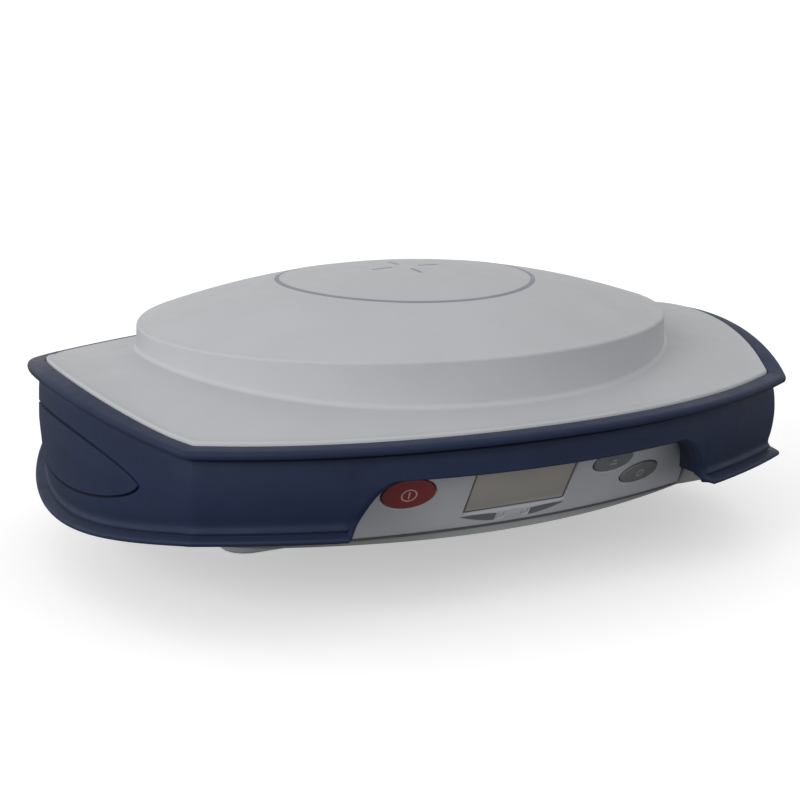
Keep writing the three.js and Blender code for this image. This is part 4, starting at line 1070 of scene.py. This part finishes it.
RADOME = surface("radome_plastic", "b0b2b5", 0.5, specular=0.2, mottle=0.02, grain=0.18, grain_scale=1500)
RUBBER = surface(
    "bumper_rubber", "1e2842", 0.6, specular=0.22, mottle=0.09, mottle_scale=70, grain=0.3,
    grain_scale=1800, sheen=0.03,
)
HOUSING = surface(
    "housing_plastic", "a4a7a8", 0.55, specular=0.35, mottle=0.04, grain=0.3, grain_scale=1300,
)
PANEL = surface("panel_plastic", "c5c8ce", 0.45, specular=0.25, mottle=0.03, grain=0.08, grain_scale=3000)
SATIN = {"specular": 0.3, "grain": 0.08, "grain_scale": 2500}
RED = surface("red_plastic", "8f4243", 0.4, mottle=0.06, **SATIN)
GREY_BUTTON = surface("grey_plastic", "7e8185", 0.45, mottle=0.05, **SATIN)
PRINT_DARK, PRINT_BLUE, PRINT_PALE, PRINT_LIGHT = [
    surface(name, colour, 0.5, mottle=0.04, grain=0.05) for name, colour in (
        ("dark_print", "71737a"), ("blue_grey_print", "7c7e8a"), ("pale_print", "e0b9b6"),
        ("light_print", "b4b6ba"),
    )
]
SCREEN = surface("screen_glass", "b3afa9", 0.2, coat=0.6, mottle=0.03, mottle_scale=90, grain=0.02)
BEZEL = surface("screen_border", "5f6064", 0.35, mottle=0.05, grain=0.05)
LENS = surface("light_lens", "c4c7c9", 0.25, coat=0.4, mottle=0.03, grain=0.04)
DARK = surface("dark_plastic", "2a2b2f", 0.5, mottle=0.08, grain=0.25)
SEAL = surface("seal_rubber", "1d1d20", 0.65, mottle=0.12, grain=0.3, sheen=0.05)
BOARD = surface("board_resist", "1f5a34", 0.4, mottle=0.15, mottle_scale=260, grain=0.2)
CERAMIC = surface("patch_ceramic", "d8d4c6", 0.35, mottle=0.04, grain=0.1)
METAL = {"metallic": 1, "rough_spread": 0.08}
ALUMINIUM = surface("aluminium", "c4c6c9", 0.32, mottle=0.04, grain=0.15, **METAL)
BRASS = surface("brass", "c7a35a", 0.28, mottle=0.07, grain=0.12, **METAL)
STEEL = surface("zinc_steel", "a3a6aa", 0.3, mottle=0.06, grain=0.15, **METAL)


def dress(piece, material, body="receiver", stands_for=()):
    piece.data.materials.clear()
    piece.data.materials.append(material)
    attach(piece, body)
    if stands_for:
        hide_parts(*stands_for)


# ---- the receiver

dress(make_radome(), RADOME, stands_for=["radome"])
dress(make_crown_mark(), PRINT_BLUE)
dress(make_bumper(), RUBBER, stands_for=["bumper"])
for name, side in (("side_insert_left", -1), ("side_insert_right", 1)):
    dress(make_side_insert(name, side), RUBBER, stands_for=[name])
dress(make_lower_housing(), HOUSING, stands_for=["lower_housing"])
dress(make_front_panel(), PANEL, stands_for=["front_panel"])
dress(make_panel_seam(), BEZEL)

stations = [(-5.7, -0.05), (-0.25, -0.05), (-0.15, -0.15), (-0.1, -0.35), (-0.08, -0.8)]
light = round_rect(LIGHT_SIZE, LIGHT_SIZE, 0.5)
for hand, side in (("left", -1), ("right", 1)):
    dress(leaf_mark("light_mark_" + hand, side), PRINT_DARK)
    lens = panel_solid(f"status_light_{hand}_skin", light, stations, side * LIGHT_X, LIGHT_UP)
    dress(lens, LENS, stands_for=["status_light_" + hand])

window = round_rect(DISPLAY_WIDTH, DISPLAY_HEIGHT, 0.8)
stations = [(-1.6, 0), (-1.15, 0), (-1.0, -0.05), (-0.9, -0.2)]
screen = panel_solid("display_window_skin", window, stations, 0, DISPLAY_UP)
dress(screen, SCREEN, stands_for=["display_window"])
stations = [(-0.95, -0.2), (-0.86, -0.2), (-0.86, -0.6), (-0.95, -0.6)]
dress(panel_solid("display_border", window, stations, 0, DISPLAY_UP, smooth=40, closed=True), BEZEL)

for name in BUTTONS:
    look, slot = (RED, "red_button") if name == "power_button" else (GREY_BUTTON, "grey_button")
    dress(make_button(name), look, name, [name])
dress(button_ring("power_ring", "power_button", 2.3), PRINT_PALE, "power_button")
dress(button_bar("power_bar", "power_button", 0.45, 2.6), PRINT_PALE, "power_button")
dress(button_bar("scroll_bar_low", "scroll_button", 2.6, 0.45, -0.7), PRINT_LIGHT, "scroll_button")
dress(button_bar("scroll_bar_high", "scroll_button", 1.5, 0.45, 0.5), PRINT_LIGHT, "scroll_button")
dress(button_ring("log_ring", "log_button", 1.35), PRINT_LIGHT, "log_button")

dress(make_battery_door(), HOUSING, "battery_door", ["battery_door"])
door_screw = screw("door_screw_skin", -POD_X, DOOR_SCREW_Y, DOOR_LIFT, 0.9, 4.0, 1.8, 11, cross=False)
dress(door_screw, STEEL, "door_screw", ["door_screw"])
dress(make_radio_module(), HOUSING, stands_for=["radio_module"])
screws = [(f"radio_screw_{i + 1}", x, y, 0.9, 18.5) for i, (x, y) in enumerate(MODULE_SCREWS)]
for i, (x, y) in enumerate(HOUSING_SCREWS):
    screws.append((f"housing_screw_{i + 1}", x, y, screw_head_z(i), POST_SPLIT_Z + 8))
for name, x, y, low, top in screws:
    part = screw(name + "_skin", x, y, low, HEAD_HEIGHT, HEAD_R, SHAFT_R, top)
    dress(part, STEEL, stands_for=[name])
for name, x in SOCKETS.items():
    dress(make_socket(name, x), STEEL, stands_for=[f"{name}_socket"])
    insulator, pins = make_socket_pins(name, x)
    dress(insulator, DARK)
    dress(pins, BRASS)
    dress(make_cap(name, x), SEAL, f"{name}_cap", [f"{name}_cap"])
for name, place in AERIALS.items():
    dress(make_aerial_socket(name, *place), BRASS, stands_for=[name])
dress(make_pole_insert(), BRASS, stands_for=["pole_insert"])

# CAD nodes that keep their own shape.
for look, names in (
    (SEAL, ["housing_seal", "door_seal"]),
    (DARK, ["display_module", "keypad_membrane", "battery", "beeper"]),
    (BOARD, ["display_board", "main_board"]),
    (CERAMIC, ["antenna_patch", "antenna_upper_patch"]),
    (BRASS, ["battery_contacts", "antenna_feed"]),
    (ALUMINIUM, ["shield_can", "ground_plane", *[f"antenna_pillar_{i}" for i in (1, 2, 3)]]),
    (STEEL, [f"board_screw_{i}" for i in (1, 2, 3, 4)]),
):
    for name in names:
        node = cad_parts[name]
        if not node.material_slots:
            node.data.materials.append(look)
        for holder in node.material_slots:
            holder.material = look

# ---- floor, light and camera

TARGET = Vector((-0.0016, 0, 0.0419))
CAMERA_AZIMUTH, CAMERA_ELEVATION, CAMERA_DISTANCE = -26.93, 13.73, 0.50393
CAMERA_LENS, SENSOR_WIDTH = 72.52, 36
LAMP_AZIMUTH, LAMP_ELEVATION, LAMP_DISTANCE, LAMP_SIZE, LAMP_POWER = -66, 22, 1.6, 0.9, 11.5
FLOOR_REACH, FLOOR_DROP, FLOOR_GLOW = 30.0, 0.0002, 0.42
SKY_BELOW, SKY_HORIZON, SKY_ZENITH = 0.1, 1.05, 0.72


def aim(obj, azimuth, elevation, distance):
    """Puts a lamp or a camera round the target, facing it; azimuth 0 is the front, 90 the right."""
    a, e = math.radians(azimuth), math.radians(elevation)
    direction = Vector((math.sin(a) * math.cos(e), -math.cos(a) * math.cos(e), math.sin(e)))
    obj.location = TARGET + distance * direction
    obj.rotation_mode = "QUATERNION"
    obj.rotation_quaternion = (TARGET - obj.location).to_track_quat("-Z", "Y")


def studio_world():
    """Even light by the height looked at, brightest at the horizon and dim under it."""
    world = bpy.data.worlds.new("studio")
    world.use_nodes = True
    nodes, links = world.node_tree.nodes, world.node_tree.links
    place = nodes.new("ShaderNodeTexCoord")
    split = nodes.new("ShaderNodeSeparateXYZ")
    links.new(place.outputs["Generated"], split.inputs["Vector"])
    product = nodes.new("ShaderNodeMath")
    product.operation = "MULTIPLY"
    for i, spread in enumerate(((-0.12, -0.01, SKY_BELOW, SKY_HORIZON), (0.05, 0.5, 1, SKY_ZENITH))):
        level = map_range(nodes, *spread)
        level.interpolation_type = "SMOOTHSTEP"
        links.new(split.outputs["Z"], level.inputs["Value"])
        links.new(level.outputs["Result"], product.inputs[i])
    links.new(product.outputs["Value"], nodes["Background"].inputs["Strength"])
    fill(nodes["Background"], {"Color": (1, 1, 1, 1)})
    bpy.context.scene.world = world


def make_floor():
    reach = FLOOR_REACH / MM
    corners = [(x * reach, y * reach, 0) for x, y in ((-1, -1), (1, -1), (1, 1), (-1, 1))]
    floor = new_object("floor", corners, [(0, 1, 2, 3)])
    floor.location.z = -FLOOR_DROP
    paint = surface("floor_paint", "e1e1e1", 0.9, specular=0.0, mottle=0.003, grain=0)
    glow = {"Emission Color": (1, 1, 1, 1), "Emission Strength": FLOOR_GLOW}
    fill(paint.node_tree.nodes["Principled BSDF"], glow)
    floor.data.materials.append(paint)
    floor.visible_diffuse = floor.visible_glossy = False


make_floor()
studio_world()
lamp = bpy.data.lights.new("key", "AREA")
lamp.shape, lamp.size, lamp.energy = "DISK", LAMP_SIZE, LAMP_POWER
aim(add_object("key", lamp), LAMP_AZIMUTH, LAMP_ELEVATION, LAMP_DISTANCE)

camera = add_object("camera", bpy.data.cameras.new("camera"))
camera.data.lens = CAMERA_LENS
camera.data.sensor_width = SENSOR_WIDTH
aim(camera, CAMERA_AZIMUTH, CAMERA_ELEVATION, CAMERA_DISTANCE)
camera.data.clip_start, camera.data.clip_end = 0.01, 100
bpy.context.scene.camera = camera
bpy.context.scene.view_settings.view_transform = "Standard"
